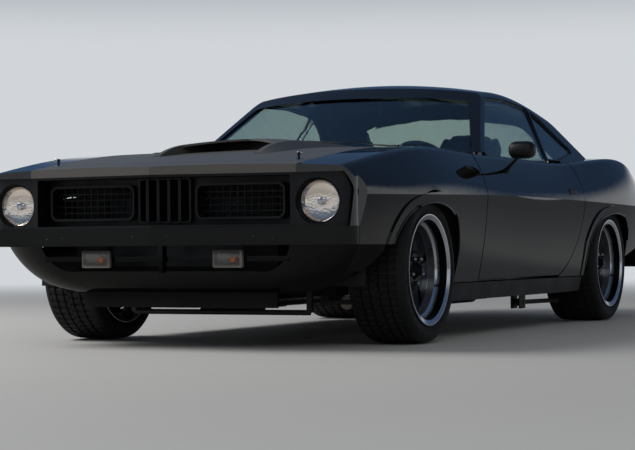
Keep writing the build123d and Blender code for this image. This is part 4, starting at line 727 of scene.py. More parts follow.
@dataclass
class RoadWheel:
    """One tyre with its tread, and its wheel's nuts and valve, in millimetres; the turn is in radians."""

    name: str
    side: Side
    x: float
    y: float
    half: float
    grooves: tuple[tuple[float, float], ...]
    axle_z: float = 325.0
    bead_r: float = 228.4
    rim_r: float = 245.4
    crown_r: float = 325.0
    edge_r: float = 321.0
    groove_deep: float = 7.0
    tread_edge: float = 34.0
    slot_wall: float = 5.2
    slot_deep: float = 5.0
    segments: int = 120
    nut_ring: float = 59.0
    nut_r: float = 10.5
    nut_high: float = 16.0
    nut_sunk: float = 1.0
    nut_dome: float = 4.0
    nuts: int = 5
    disc_deep: float = 73.0
    valve_r: float = 208.0
    valve_turn: float = -0.35
    valve_deep: float = 60.0

    def plane(self) -> Matrix:
        """The wheel's own plane: Z points out of the car and X to the tail."""
        return along((self.side.value, 0.0, 0.0), mm(self.side.value * self.x, self.y, self.axle_z),
                     BACKWARDS)

    def crown(self, width: float) -> float:
        """The tread's radius at a distance from its middle."""
        return self.crown_r - (self.crown_r - self.edge_r) * (width / (self.half - self.tread_edge)) ** 2

    def half_profile(self) -> list[tuple[float, float]]:
        """The tyre's rings from the middle of the tread out to the bead.

        Returns:
            Radius and distance from the middle plane of each ring.
        """
        rings: list[tuple[float, float]] = [(self.crown_r, 0.0)]
        for low, high in self.grooves:
            deep = self.crown(high) - self.groove_deep
            rings += [(self.crown(low), low), (deep, low + 1.5), (deep, high - 1.5), (self.crown(high), high)]
        h = self.half
        bead = h - 15.3
        rings += [(self.edge_r, h - self.tread_edge), (319.5, h - 25), (316.5, h - 17), (311.5, h - 11),
                  (304, h - 6), (294, h - 2.2), (284, h), (274.5, h - 1.0), (272.5, h - 2.6),
                  (270.5, h - 2.4), (268.5, h - 1.9), (261, h - 5.2), (256, h - 7.6), (252.5, h - 10.6),
                  (249, bead + 4), (self.rim_r, bead + 3), (self.bead_r, bead)]
        return rings

    def tyre(self) -> Piece:
        """Turns the tyre and sinks the slots into its ribs.

        Returns:
            The tyre, in its own plane at the origin.
        """
        half = self.half_profile()
        rings = [(r, -w) for r, w in reversed(half)] + half[1:]
        rings.append(rings[0])
        tyre = turned(rings, self.segments)
        enter(tyre)
        bpy.ops.mesh.normals_make_consistent(inside=False)
        ribs = [(0.0, self.grooves[0][0])]
        ribs += [(a[1], b[0]) for a, b in zip(self.grooves, self.grooves[1:])]
        ribs.append((self.grooves[-1][1], self.half - self.tread_edge))
        step = math.tau / self.segments

        def on_rib(face: bmesh.types.BMFace) -> bool:
            """Says whether a face is every second one of a rib."""
            centre = face.calc_center_median()
            radius = math.hypot(centre.x, centre.y) / MM
            width = abs(centre.z) / MM
            turn = int(math.atan2(centre.y, centre.x) / step + self.segments)
            inside = any(low < width < high for low, high in ribs)
            return radius > self.edge_r - 1 and inside and (turn + int(centre.z > 0)) % 2 == 0

        pick(tyre, Pick.FACE, on_rib)
        bpy.ops.mesh.inset(thickness=self.slot_wall * MM, depth=-self.slot_deep * MM, use_individual=True)
        fresh()
        return tyre

    def nut(self) -> Piece:
        """A six-sided nut with a domed end, standing on Z at the origin.

        Returns:
            The nut.
        """
        fresh()
        bpy.ops.mesh.primitive_cylinder_add(vertices=6, radius=self.nut_r * MM, depth=self.nut_high * MM,
                                            location=(0, 0, (self.nut_high / 2 - self.nut_sunk) * MM))
        nut = bpy.context.object
        enter(nut)
        bpy.ops.mesh.bevel(offset=0.0009, segments=2, affect="EDGES")
        pick_facing(nut, UPWARDS, least=0.9)
        bpy.ops.mesh.inset(thickness=0.0025)
        extrude((0.0, 0.0, self.nut_dome * MM))
        bpy.ops.transform.resize(value=(0.6, 0.6, 1.0))
        fresh()
        return nut

    def build(self, shop: Workshop) -> None:
        """Makes the tyre, the nuts and the valve.

        Args:
            shop: Where pieces are finished.
        """
        body = "wheel_" + self.name
        tyre = placed(self.tyre(), self.plane())
        shop.hand_over(tyre, "tyre_tread_" + self.name, "tyre", RUBBER, body, ("tyre_" + self.name,), 28.0)
        first = self.nut()
        nuts = []
        for turn in range(self.nuts):
            angle = math.tau * (turn + 0.75) / self.nuts
            spot = mm(self.nut_ring * math.cos(angle), self.nut_ring * math.sin(angle),
                      self.half - self.disc_deep)
            nuts.append(twin(first, self.plane() @ Matrix.Translation(spot)))
        bpy.data.objects.remove(first)
        shop.hand_over(joined(nuts), "wheel_nuts_" + self.name, "chassis_steel", ZINC, body)
        valve = turned([(0, -6), (3.2, -6), (3.2, 10), (4.4, 11), (4.4, 20), (3.0, 22), (0, 22)], segments=12)
        spot = mm(self.valve_r * math.cos(self.valve_turn), self.valve_r * math.sin(self.valve_turn),
                  self.half - self.valve_deep)
        shop.hand_over(placed(valve, self.plane() @ Matrix.Translation(spot)), "valve_" + self.name, "tyre",
                       RUBBER, body)


@dataclass
class WheelSet(Maker):
    """The four road wheels."""

    wheels: tuple[RoadWheel, ...] = (
        RoadWheel("front_left", Side.LEFT, 772, -1471, 135, ((18, 27), (60, 69))),
        RoadWheel("front_right", Side.RIGHT, 772, -1471, 135, ((18, 27), (60, 69))),
        RoadWheel("rear_left", Side.LEFT, 762, 1272, 150, ((22, 32), (70, 80))),
        RoadWheel("rear_right", Side.RIGHT, 762, 1272, 150, ((22, 32), (70, 80))))

    def build(self) -> None:
        """Makes all four."""
        for wheel in self.wheels:
            wheel.build(self.shop)


@dataclass
class Headlamp(Maker):
    """One round headlamp: ring, bucket, bowl, bulb shield and fluted lens."""

    x: float = 730.0
    seat_y: float = -2214.0
    z: float = 617.0
    ring_r: float = 95.0
    lens_r: float = 84.0
    depth: float = 22.0
    tip: float = 34.0
    segments: int = 64

    def build(self) -> None:
        """Makes both lamps."""
        r, d, outer, tip = self.lens_r, self.depth, self.ring_r, self.tip
        ring = turned([(r + 3.4, 0), (r + 3.4, d + 1.5), (r + 2.6, d + 3.6), (r + 1.2, d + 4),
                       (r + 0.5, d + 2.5), (r + 0.3, d - 3), (r + 0.3, 0), (r + 3.4, 0)], self.segments)
        bucket = turned([(outer + 2.6, 0), (outer + 2.6, d + 12), (outer + 0.6, d + 12), (r + 5, d + 1),
                         (r + 3.6, d - 4), (r + 3.6, 0), (outer + 2.6, 0)], self.segments)
        bowl = turned([(r - 0.2, d - 4), (r - 3, d - 8), (r - 9, 6), (r - 14, 4.4), (r - 50, 3), (16, 2),
                       (0, 2), (0, 0.4), (r - 0.2, 0.4), (r - 0.2, d - 4)], self.segments)
        shield = turned([(17, 2.2), (17, 14), (14, 20), (8, 23), (0, 24), (0, 2.2), (17, 2.2)], segments=32)
        lens = turned([(r, d - 3), (r - 6, d + 1.5), (r - 22, d + 6.5), (r - 44, d + 9.8), (20, d + 11.6),
                       (0, tip), (0, tip - 2.5), (20, d + 9.1), (r - 44, d + 7.3), (r - 22, d + 4.0),
                       (r - 7, d - 0.8), (r - 2, d - 3.4), (r, d - 3)], self.segments)
        for piece in (ring, bucket, bowl, shield, lens):
            placed(piece, along(FORWARDS, mm(self.x, self.seat_y, self.z), LEFT))
        self.shop.pair(ring, "headlamp_ring", "chassis_steel", CHROME)
        self.shop.pair(bucket, "headlamp_bucket", "black_trim", BLACK_TRIM)
        self.shop.pair(shield, "headlamp_shield", "chassis_steel", CHROME)
        self.shop.pair(lens, "headlamp_lens", "lamp_glass", LAMP_GLASS)
        self.shop.pair(bowl, "headlamp_bowl", "lamp_glass", REFLECTOR, replaces=(("headlamps",), ()))


@dataclass
class ParkLamp(Maker):
    """One parking lamp: a tray, a clear lens and an amber bulb."""

    x: float = 318.0
    z: float = 383.0
    wide: float = 138.0
    high: float = 74.0
    front_y: float = -2278.0
    rear_y: float = -2248.0
    wall: float = 7.0
    sunk: float = 19.0
    bulb_x: float = 25.0

    def build(self) -> None:
        """Makes both lamps."""
        low = (self.x - self.wide / 2, self.front_y + 3, self.z - self.high / 2)
        high = (self.x + self.wide / 2, self.rear_y, self.z + self.high / 2)
        tray = slab(low, high, self.wall)
        enter(tray)
        pick_facing(tray, FORWARDS, least=0.95)
        bpy.ops.mesh.inset(thickness=self.wall * MM)
        extrude((0.0, self.sunk * MM, 0.0))
        bpy.ops.transform.resize(value=(0.86, 1.0, 0.78))
        lens = slab((low[0] + 5, self.front_y + 0.5, low[2] + 5),
                    (high[0] - 5, self.front_y + 5.5, high[2] - 5), bevel=2.2)
        bulb = turned([(0, 0), (9, 0), (9, 6), (13, 9), (14, 14), (12, 19), (7, 22), (0, 23)], segments=24)
        self.shop.pair(tray, "park_lamp_tray", "amber_lens", TRAY_SILVER, replaces=(("park_lamps",), ()))
        self.shop.pair(lens, "park_lamp_lens", "amber_lens", CLEAR_LENS)
        for side in Side:
            spot = mm(side.value * self.x + self.bulb_x, self.rear_y - 5, self.z - 3)
            self.shop.hand_over(twin(bulb, along(FORWARDS, spot, LEFT)),
                                "park_lamp_bulb_" + side.name.lower(), "amber_lens", AMBER)
        bpy.data.objects.remove(bulb)


@dataclass
class GrilleMesh(Maker):
    """The fine woven wire behind each grille frame."""

    x: float = 358.0
    z: float = 624.0
    y: float = -2186.0
    wide: float = 404.0
    high: float = 134.0
    pitch: float = 11.5
    wire: float = 1.7

    def build(self) -> None:
        """Makes both panels."""
        panel = sheet(self.wide, self.high, round(self.wide / self.pitch), round(self.high / self.pitch))
        placed(panel, along(FORWARDS, mm(self.x, self.y, self.z), LEFT))
        applied(panel, "WIREFRAME", thickness=self.wire * MM, use_even_offset=False)
        self.shop.pair(panel, "grille_mesh", "black_trim", BLACK_TRIM)


@dataclass
class HoodPins(Maker):
    """The scuff plates and wire clips of the four hood pins."""

    spots: tuple[Point, ...] = ((587.0, -2138.0, 826.0), (604.0, -1107.0, 902.0))
    beside: float = 9.0
    hole_r: float = 7.4
    plate_r: float = 19.0
    clip_r: float = 13.0
    wire_r: float = 1.5

    def build(self) -> None:
        """Makes a plate and a clip at each pin."""
        hood = ("hood", "hood")
        for label, (x, y, tip) in zip(("front", "rear"), self.spots):
            # The pin stands at the spot itself, so the hood is felt a little beside it
            point, normal = self.shop.top_of("hood", (x + self.beside) * MM, y * MM)
            plate = turned([(self.hole_r, 0.1), (self.plate_r, 0.1), (self.plate_r, 1.2),
                            (self.plate_r - 2, 2.0), (9.4, 2.0), (self.hole_r, 1.4), (self.hole_r, 0.1)],
                            segments=40)
            stretched(plate, (1.0, 1.45, 1.0))
            placed(plate, along(normal, Vector((x * MM, y * MM, point.z)), LEFT))
            self.shop.pair(plate, "hood_pin_plate_" + label, "chassis_steel", CHROME, hood)
            fresh()
            bpy.ops.mesh.primitive_torus_add(major_radius=self.clip_r * MM, minor_radius=self.wire_r * MM,
                                             major_segments=40, minor_segments=10)
            clip = bpy.context.object
            enter(clip)
            pick(clip, Pick.VERT, lambda vert: vert.co.x > 0.004)
            bpy.ops.transform.resize(value=(1.35, 0.55, 1.0))
            placed(clip, along((0.0, 0.35, 1.0), mm(x + 5, y, tip - 5.5), (1.0, 0.25, 0.0)))
            self.shop.pair(clip, "hood_pin_clip_" + label, "chassis_steel", CHROME, hood)


@dataclass
class BumperBolts(Maker):
    """The dark cap bolts on the front bumper's face."""

    spots: tuple[tuple[float, float], ...] = ((548.0, 464.0), (462.0, 470.0), (83.0, 473.0))
    head_r: float = 8.0
    socket_r: float = 3.4
    stand: float = 2.0
    sunk: float = 8.0

    def build(self) -> None:
        """Makes the bolts of both sides."""
        r, top, floor = self.head_r, self.stand, self.stand - 1.6
        bolts = []
        for x, z in self.spots:
            point, normal = self.shop.seen_from("front_bumper", Vector((x * MM, -3.0, z * MM)), BACKWARDS)
            bolt = turned([(0, floor), (self.socket_r, floor), (self.socket_r, top), (r - 1.5, top),
                           (r, top - 1.4), (r, -self.sunk), (0, -self.sunk), (0, floor)], segments=24)
            bolts.append(placed(bolt, along(normal, point, LEFT)))
        self.shop.pair(joined(bolts), "bumper_bolts", "black_trim", BLACK_TRIM)


@dataclass
class WindowRubber(Maker):
    """Rubber strips round the panes, by node, body, outward direction and the end of the strip's name."""

    panes: tuple[tuple[str, str, Point, str], ...] = (
        ("door_glass_left", "door_left", (1.0, 0.0, 0.15), ""),
        ("door_glass_right", "door_right", (-1.0, 0.0, 0.15), ""),
        ("windshield", "body", (0.0, -0.5, 0.87), ""), ("rear_glass", "body", (0.0, 0.45, 0.89), ""),
        ("rear_glass", "body", (1.0, 0.0, 0.2), "_left_side"),
        ("rear_glass", "body", (-1.0, 0.0, 0.2), "_right_side"))
    strip_r: float = 5.5
    least_outward: float = 0.72

    def build(self) -> None:
        """Lays a strip round each pane."""
        for name, body, outward, side in self.panes:
            edge = edge_line(self.shop.frame["nodes"][name], Vector(outward).normalized(), self.least_outward)
            self.shop.hand_over(corded(edge, self.strip_r), "rubber_" + name + side, "black_trim", GASKET,
                                body, smooth_deg=60.0)


@dataclass
class DoorTrim(Maker):
    """What each door carries: the flush handle, the inner pull and armrest."""

    handle_y: tuple[float, float] = (523.0, 641.0)
    handle_z: tuple[float, float] = (698.0, 727.0)
    thick: float = 4.0
    stand: float = 1.2
    edge_r: float = 1.2
    outside_x: float = 970.0
    rest: tuple[Point, Point] = ((733.0, -300.0, 520.0), (777.0, 210.0, 575.0))
    rest_rise: Point = (12.0, -90.0, 30.0)
    card: tuple[Point, Point] = ((768.0, -560.0, 330.0), (776.0, 320.0, 820.0))
    card_edge: float = 45.0
    card_seam: float = 4.0

    def flap(self) -> Piece:
        """The left handle's flap, wrapped onto the door's skin."""
        flap = sheet(self.handle_y[1] - self.handle_y[0], self.handle_z[1] - self.handle_z[0], 14, 5)
        middle = mm(self.outside_x, sum(self.handle_y) / 2, sum(self.handle_z) / 2)
        placed(flap, along(LEFT, middle, BACKWARDS))
        applied(flap, "SHRINKWRAP", target=self.shop.frame["nodes"]["door_left"], wrap_method="PROJECT",
                use_project_x=True, use_project_y=False, use_project_z=False, use_negative_direction=True,
                use_positive_direction=False, offset=self.stand * MM)
        applied(flap, "SOLIDIFY", thickness=self.thick * MM, offset=0.0)
        return applied(flap, "BEVEL", width=self.edge_r * MM, segments=2, limit_method="ANGLE")

    def build(self) -> None:
        """Makes the trim of both doors."""
        self.shop.pair(self.flap(), "door_handle", "black_trim", BLACK_TRIM, DOORS)
        rest = slab(*self.rest, bevel=12.0)
        enter(rest)
        pick_facing(rest, FORWARDS, least=0.9)
        bpy.ops.transform.translate(value=mm(*self.rest_rise))
        self.shop.pair(rest, "armrest", "interior", INTERIOR, DOORS)
        panel = slab(*self.card, bevel=3.0)
        enter(panel)
        pick_facing(panel, (-1.0, 0.0, 0.0), least=0.9)
        bpy.ops.mesh.inset(thickness=self.card_edge * MM)
        bpy.ops.mesh.inset(thickness=self.card_seam * MM, depth=-0.003)
        self.shop.pair(panel, "door_card", "interior", LEATHER, DOORS)


@dataclass
class CabinMirror(Maker):
    """The small mirror on its stem under the roof's front edge."""

    z: float = 1140.0
    y: float = -150.0
    wide: float = 230.0
    high: float = 56.0

    def build(self) -> None:
        """Makes the mirror's shell and the stem up to the roof's underside."""
        half = self.high / 2
        shell = slab((-self.wide / 2, self.y - 14, self.z - half),
                     (self.wide / 2, self.y + 6, self.z + half), bevel=9.0)
        tapered(shell, FORWARDS, (0.8, 1.0, 0.7), least=0.95)
        self.shop.hand_over(shell, "cabin_mirror", "interior", BLACK_TRIM)
        foot = mm(0.0, self.y - 6, self.z)
        under, _ = self.shop.seen_from("roof", foot, UPWARDS)
        reach = under.z / MM - self.z + 6
        stem = turned([(0, -4), (8, -4), (6, 6), (5, reach * 0.6), (9, reach - 6), (18, reach),
                       (0, reach)], segments=20)
        self.shop.hand_over(placed(stem, Matrix.Translation(foot)), "cabin_mirror_stem", "interior",
                            BLACK_TRIM)


@dataclass
class DoorMirrorGlass(Maker):
    """The silvered glass on the back of each door mirror."""

    x: float = 1000.0
    y: float = -452.5
    z: float = 890.0
    wide: float = 108.0
    high: float = 62.0
    thick: float = 3.0
    corner_r: float = 24.0

    def build(self) -> None:
        """Makes both glasses."""
        fresh()
        bpy.ops.mesh.primitive_cube_add(size=1.0, location=mm(self.x, self.y, self.z))
        glass = bpy.context.object
        enter(glass)
        bpy.ops.transform.resize(value=mm(self.wide, self.thick, self.high))
        pick(glass, Pick.EDGE, lambda edge: abs((edge.verts[1].co - edge.verts[0].co).normalized().y) > 0.95)
        bpy.ops.mesh.bevel(offset=self.corner_r * MM, segments=6, affect="EDGES")
        pick_facing(glass, BACKWARDS, least=0.95)
        bpy.ops.mesh.inset(thickness=0.0015, depth=0.0008)
        self.shop.pair(glass, "door_mirror_glass", "lamp_glass", CHROME, DOORS)


def prism(profile: Outline, low_x: float, high_x: float) -> Piece:
    """A side-view outline that is extruded across the car.

    Args:
        profile: Y and Z of each corner, in millimetres.
        low_x: Where it starts, in millimetres.
        high_x: Where it ends, in millimetres.

    Returns:
        The closed piece.
    """
    fresh()
    bpy.ops.mesh.primitive_circle_add(vertices=len(profile), radius=1.0, fill_type="NGON",
                                      location=(0.0, 0.0, 0.0))
    piece = bpy.context.object
    for vert, (y, z) in zip(piece.data.vertices, profile):
        vert.co = (low_x * MM, y * MM, z * MM)
    enter(piece)
    extrude(((high_x - low_x) * MM, 0.0, 0.0))
    bpy.ops.mesh.select_all(action="SELECT")
    bpy.ops.mesh.normals_make_consistent(inside=False)
    fresh()
    return piece


@dataclass
class Upholstery:
    """Turns a plain form into a stuffed and sewn pad, in millimetres."""

    voxel: float = 8.0
    pressure: float = 4.0
    frames: int = 20
    cap: float = 22.0
    relax: int = 8

    def stuffed(self, form: Piece, depth_at: Callable[[Vector], float]) -> Piece:
        """Makes a pad of a form.

        Args:
            form: A closed form, a little smaller than the pad.
            depth_at: Gives how deep the seams pull a point in.

        Returns:
            The same piece.
        """
        self.swell(form)
        self.sew(form, depth_at)
        return form

    def swell(self, piece: Piece) -> None:
        """Gives the form an even skin, blows it up as cloth and caps how far it moves.

        Args:
            piece: The closed form.
        """
        applied(piece, "REMESH", mode="VOXEL", voxel_size=self.voxel * MM)
        applied(piece, "SMOOTH", factor=0.5, iterations=self.relax)
        start = [vert.co.copy() for vert in piece.data.vertices]
        cloth = piece.modifiers.new("cloth", "CLOTH")
        cloth.settings.quality = 5
        cloth.settings.use_pressure = True
        cloth.settings.uniform_pressure_force = self.pressure
        cloth.settings.effector_weights.gravity = 0.0
        cloth.point_cache.frame_start = 1
        cloth.point_cache.frame_end = self.frames
        for frame in range(1, self.frames + 1):
            bpy.context.scene.frame_set(frame)
        choose(piece)
        bpy.ops.object.modifier_apply(modifier="cloth")
        bpy.context.scene.frame_set(1)
        most = 0.0
        for vert, before in zip(piece.data.vertices, start):
            move = vert.co - before
            most = max(most, move.length)
            if move.length > self.cap * MM:
                vert.co = before + move * (self.cap * MM / move.length)
        LOG.info("pad swelled by %.1f mm at most, cut off at %.0f mm", most / MM, self.cap)
        applied(piece, "SUBSURF", levels=1, render_levels=1)

    def sew(self, piece: Piece, depth_at: Callable[[Vector], float]) -> None:
        """Draws the skin in along its seams and channels.

        Args:
            piece: The swollen pad.
            depth_at: Gives how deep the seams pull a point in.
        """
        outwards = [vert.normal.copy() for vert in piece.data.vertices]
        for vert, outward in zip(piece.data.vertices, outwards):
            vert.co = vert.co - outward * depth_at(vert.co / MM) * MM
        piece.data.update()


def groove(place: float, line: float, width: float, depth: float) -> float:
    """How deep a seam pulls in at a place near its line: a soft V of half this width, this deep."""
    away = abs(place - line)
    return depth * (1 - away / width) ** 2 if away < width else 0.0


@dataclass
class FrontSeat(Maker):
    """One high-backed front seat: base, cushion and backrest, in millimetres."""

    x: float = 370.0
    half: float = 222.0
    bolster_x: float = 142.0
    bolster_rise: float = 20.0
    bolster_seam: float = 14.0
    top_z: float = 380.0
    dish: float = 8.0
    nose: float = 30.0
    waist_z: float = 620.0
    waist_to_top: float = 430.0
    narrowing: float = 0.24
    wing: float = 26.0
    drop: float = 24.0
    pleat: tuple[float, float] = (12.0, 5.5)
    pleats: tuple[float, ...] = (-92.0, -46.0, 0.0, 46.0, 92.0)
    cushion: Outline = ((-100.0, 306.0), (-118.0, 405.0), (-62.0, 446.0), (120.0, 428.0), (318.0, 400.0),
                        (330.0, 306.0))
    back: Outline = ((318.0, 425.0), (366.0, 700.0), (415.0, 1000.0), (456.0, 1048.0), (514.0, 1046.0),
                     (528.0, 995.0), (480.0, 700.0), (436.0, 400.0))

    def pad(self, outline: Outline, sewer: Callable[[Vector], float],
            shape: Callable[[Vector], Vector]) -> Piece:
        """Makes one pad of the left seat.

        Args:
            outline: Its side view.
            sewer: How deep the seams pull in.
            shape: Moves a point of the plain form, for bolsters and waist.

        Returns:
            The finished pad.
        """
        form = prism(outline, self.x - self.half, self.x + self.half)
        enter(form)
        for place in (-self.bolster_x - 20, -self.bolster_x + 20, -60.0, 0.0, 60.0, self.bolster_x - 20,
                      self.bolster_x + 20):
            bpy.ops.mesh.select_all(action="SELECT")
            bpy.ops.mesh.bisect(plane_co=((self.x + place) * MM, 0.0, 0.0), plane_no=(1.0, 0.0, 0.0))
        fresh()
        for vert in form.data.vertices:
            vert.co = shape(vert.co / MM) * MM
        return Upholstery().stuffed(form, sewer)

    def cushion_shape(self, point: Vector) -> Vector:
        """Raises the thigh bolsters and rounds the front in plan."""
        across = abs(point.x - self.x)
        if point.z > self.top_z and across > self.bolster_x:
            point.z += self.bolster_rise
        if point.z > self.top_z and across < self.bolster_x - 10:
            point.z -= self.dish
        if point.y < 0:
            point.y += self.nose * (across / self.half) ** 2
        return point

    def back_shape(self, point: Vector) -> Vector:
        """Narrows the backrest to its top and brings its bolsters forwards."""
        across = point.x - self.x
        rise = max(point.z - self.waist_z, 0) / self.waist_to_top
        point.x = self.x + across * (1 - self.narrowing * rise)
        front = point.y < 355 + (point.z - 400) * 0.17
        if front and abs(across) > self.bolster_x and point.z < 960:
            point.y -= self.wing
        if abs(across) > self.bolster_x and point.z > 990:
            point.z -= self.drop
        return point

    def cushion_seams(self, point: Vector) -> float:
        """Pleats along the cushion's top, between the bolsters' seams."""
        across = point.x - self.x
        depth = groove(abs(across), self.bolster_x, self.bolster_seam, 9.0)
        if point.z > 395 and abs(across) < self.bolster_x and point.y < 300:
            depth = max([depth] + [groove(across, line, *self.pleat) for line in self.pleats])
        return max(depth, groove(point.z, 345, 9, 4.0))

    def back_seams(self, point: Vector) -> float:
        """Pleats up the backrest's front under a plain headrest panel."""
        across = point.x - self.x
        depth = groove(abs(across), self.bolster_x, self.bolster_seam, 8.0) if point.z < 900 else 0.0
        front = point.y < 400 + (point.z - 400) * 0.16
        if front and point.z < 860 and abs(across) < self.bolster_x:
            depth = max([depth] + [groove(across, line, *self.pleat) for line in self.pleats])
        if abs(across) < self.bolster_x + self.bolster_seam:
            depth = max(depth, groove(point.z, 868, 12, 8.0))
        return depth

    def base(self) -> Piece:
        """The plinth under the cushion, with its runners."""
        plinth = slab((self.x - 196, -52, 246), (self.x + 196, 322, 318), bevel=10.0)
        tapered(plinth, DOWNWARDS, (0.9, 0.92, 1.0), least=0.9)
        rails = [slab((self.x + side - 17, -66, 225.3), (self.x + side + 17, 344, 252), bevel=5.0)
                 for side in (-150, 150)]
        return joined([plinth] + rails)

    def build(self) -> None:
        """Makes both seats."""
        cushion = self.pad(self.cushion, self.cushion_seams, self.cushion_shape)
        back = self.pad(self.back, self.back_seams, self.back_shape)
        self.shop.pair(cushion, "seat_cushion", "seat_leather", LEATHER, replaces=(("front_seats",), ()),
                       fill=0.8)
        self.shop.pair(back, "seat_back", "seat_leather", LEATHER, fill=0.8)
        self.shop.pair(self.base(), "seat_base", "interior", INTERIOR)


@dataclass
class RearBench(Maker):
    """The rear seat: one wide cushion and one wide backrest, in millimetres."""

    half: float = 486.0
    hump: float = 90.0
    last_pleat: float = 420.0
    pleat: tuple[float, float] = (15.0, 6.0)
    pleat_pitch: float = 62.0
    cushion: Outline = ((690.0, 458.0), (698.0, 520.0), (724.0, 556.0), (950.0, 552.0), (975.0, 508.0),
                        (896.0, 506.0), (760.0, 468.0))
    back: Outline = ((958.0, 566.0), (1040.0, 872.0), (1064.0, 880.0), (1108.0, 872.0), (1136.0, 520.0),
                     (985.0, 508.0))

    def pad(self, outline: Outline, sewer: Callable[[Vector], float]) -> Piece:
        """Makes one of its pads.

        Args:
            outline: Its side view.
            sewer: How deep the seams pull in.

        Returns:
            The finished pad.
        """
        return Upholstery(voxel=12.0, cap=24.0).stuffed(prism(outline, -self.half, self.half), sewer)

    def pleated(self, point: Vector) -> float:
        """Pleats across the seat with plain parts at the middle and the ends."""
        if abs(point.x) < self.hump or abs(point.x) > self.last_pleat:
            return 0.0
        place = (abs(point.x) - self.hump) % self.pleat_pitch
        return max(groove(place, line, *self.pleat) for line in (0.0, self.pleat_pitch))

    def build(self) -> None:
        """Makes the bench."""
        cushion = self.pad(self.cushion, lambda point: self.pleated(point) if point.z > 535 else 0.0)
        back = self.pad(self.back,
                        lambda point: self.pleated(point) if point.y < 1040 and point.z > 580 else 0.0)
        self.shop.hand_over(cushion, "bench_cushion", "seat_leather", LEATHER, replaces=("rear_seat",),
                            fill=0.8)
        self.shop.hand_over(back, "bench_back", "seat_leather", LEATHER, fill=0.8)


@dataclass
class ArchBead(Maker):
    """The rolled bead round each wheel arch, laid on the panel's own arch edge.

    An arch has its panel, its bead's name, the sign of its side and its span along the car.
    """

    arches: tuple[tuple[str, str, float, tuple[float, float]], ...] = (
        ("front_fender_left", "front_arch_bead_left", 1.0, (-1903.0, -1124.0)),
        ("front_fender_right", "front_arch_bead_right", -1.0, (-1903.0, -1124.0)),
        ("quarter_left", "rear_arch_bead_left", 1.0, (862.0, 1574.0)),
        ("quarter_right", "rear_arch_bead_right", -1.0, (862.0, 1574.0)))
    bead_r: float = 4.5
    axle_z: float = 325.0
    low_z: float = 268.0
    high_z: float = 632.0
    inner_x: float = 780.0
    least_outward: float = 0.12
    step_deg: float = 4.0
    spread: float = 14.0

    def ray(self, away: Vector) -> tuple[int, float]:
        """Gives a point's direction from the axle, counted in steps of a few degrees, and its distance."""
        return round(math.degrees(math.atan2(away.z, away.y)) / self.step_deg), math.hypot(away.y, away.z)

    def build(self) -> None:
        """Lays a bead round each arch."""
        for node, name, outward, span in self.arches:
            edge = self.arch_line(node, outward, span)
            self.shop.hand_over(corded(edge, self.bead_r), name, "gloss_paint", GLOSS_PAINT, smooth_deg=60.0)

    def arch_line(self, node: str, outward: float, span: tuple[float, float]) -> Piece:
        """Finds the edge line of one arch.

        Args:
            node: The CAD panel that has the arch.
            outward: Which way the panel looks, by the sign of X.
            span: The arch's range along the car.

        Returns:
            A mesh of edges.
        """
        edge = edge_line(self.shop.frame["nodes"][node], Vector((outward, 0.0, 0.0)), self.least_outward)

        def off_arch(vert: bmesh.types.BMVert) -> bool:
            """Says whether a point is away from the arch."""
            place = vert.co / MM
            return not (span[0] < place.y < span[1] and self.low_z < place.z < self.high_z
                        and place.x * outward > self.inner_x)

        enter(edge)
        pick(edge, Pick.VERT, off_arch)
        bpy.ops.mesh.delete(type="VERT")
        # In each direction only the points nearest the axle are the arch;
        # the flare's outer edge lies further out
        axle = Vector((0.0, sum(span) / 2, self.axle_z)) * MM
        nearest: dict[int, float] = {}
        for vert in bmesh.from_edit_mesh(edge.data).verts:
            key, reach = self.ray(vert.co - axle)
            for near in (key - 1, key, key + 1):
                nearest[near] = min(nearest.get(near, math.inf), reach)

        def too_far(vert: bmesh.types.BMVert) -> bool:
            """Says whether a point lies outside the nearest ones of its direction."""
            key, reach = self.ray(vert.co - axle)
            return reach > nearest[key] + self.spread * MM

        pick(edge, Pick.VERT, too_far)
        bpy.ops.mesh.delete(type="VERT")
        fresh()
        if not edge.data.edges:
            raise RuntimeError(f"{node} shows no arch edge")
        return edge


@dataclass
class DoorMirrorShell(Maker):
    """The rounded head of each door mirror and its stalk."""

    low: Point = (935.0, -543.0, 848.0)
    high: Point = (1065.0, -452.0, 932.0)
    round_r: float = 34.0
    rim: float = 4.0
    foot: tuple[float, float] = (876.0, -392.0)
    stalk_top: Point = (978.0, -480.0, 862.0)
    stalk_r: float = 11.0

    def build(self) -> None:
        """Makes both mirrors in place of the CAD's."""
        head = slab(self.low, self.high, self.round_r)
        tapered(head, FORWARDS, (0.86, 1.0, 0.8))
        enter(head)
        pick_facing(head, BACKWARDS)
        bpy.ops.mesh.inset(thickness=self.rim * MM, depth=0.0)
        applied(head, "BEVEL", width=0.008, segments=3, limit_method="ANGLE", angle_limit=math.radians(14.0))
        foot, _ = self.shop.top_of("door_left", self.foot[0] * MM, self.foot[1] * MM)
        run = mm(*self.stalk_top) - foot
        reach = run.length / MM
        r = self.stalk_r
        stalk = turned([(0, -9), (r * 1.9, -9), (r * 1.8, 2), (r * 1.15, 8), (r, reach * 0.4),
                        (r * 0.85, reach * 0.8), (r, reach), (0, reach)], segments=24)
        stretched(stalk, (1.5, 0.75, 1.0))
        placed(stalk, along(run, foot, BACKWARDS))
        self.shop.pair(joined([head, stalk]), "door_mirror_shell", "black_trim", BLACK_TRIM, DOORS,
                       (("mirror_left",), ("mirror_right",)))


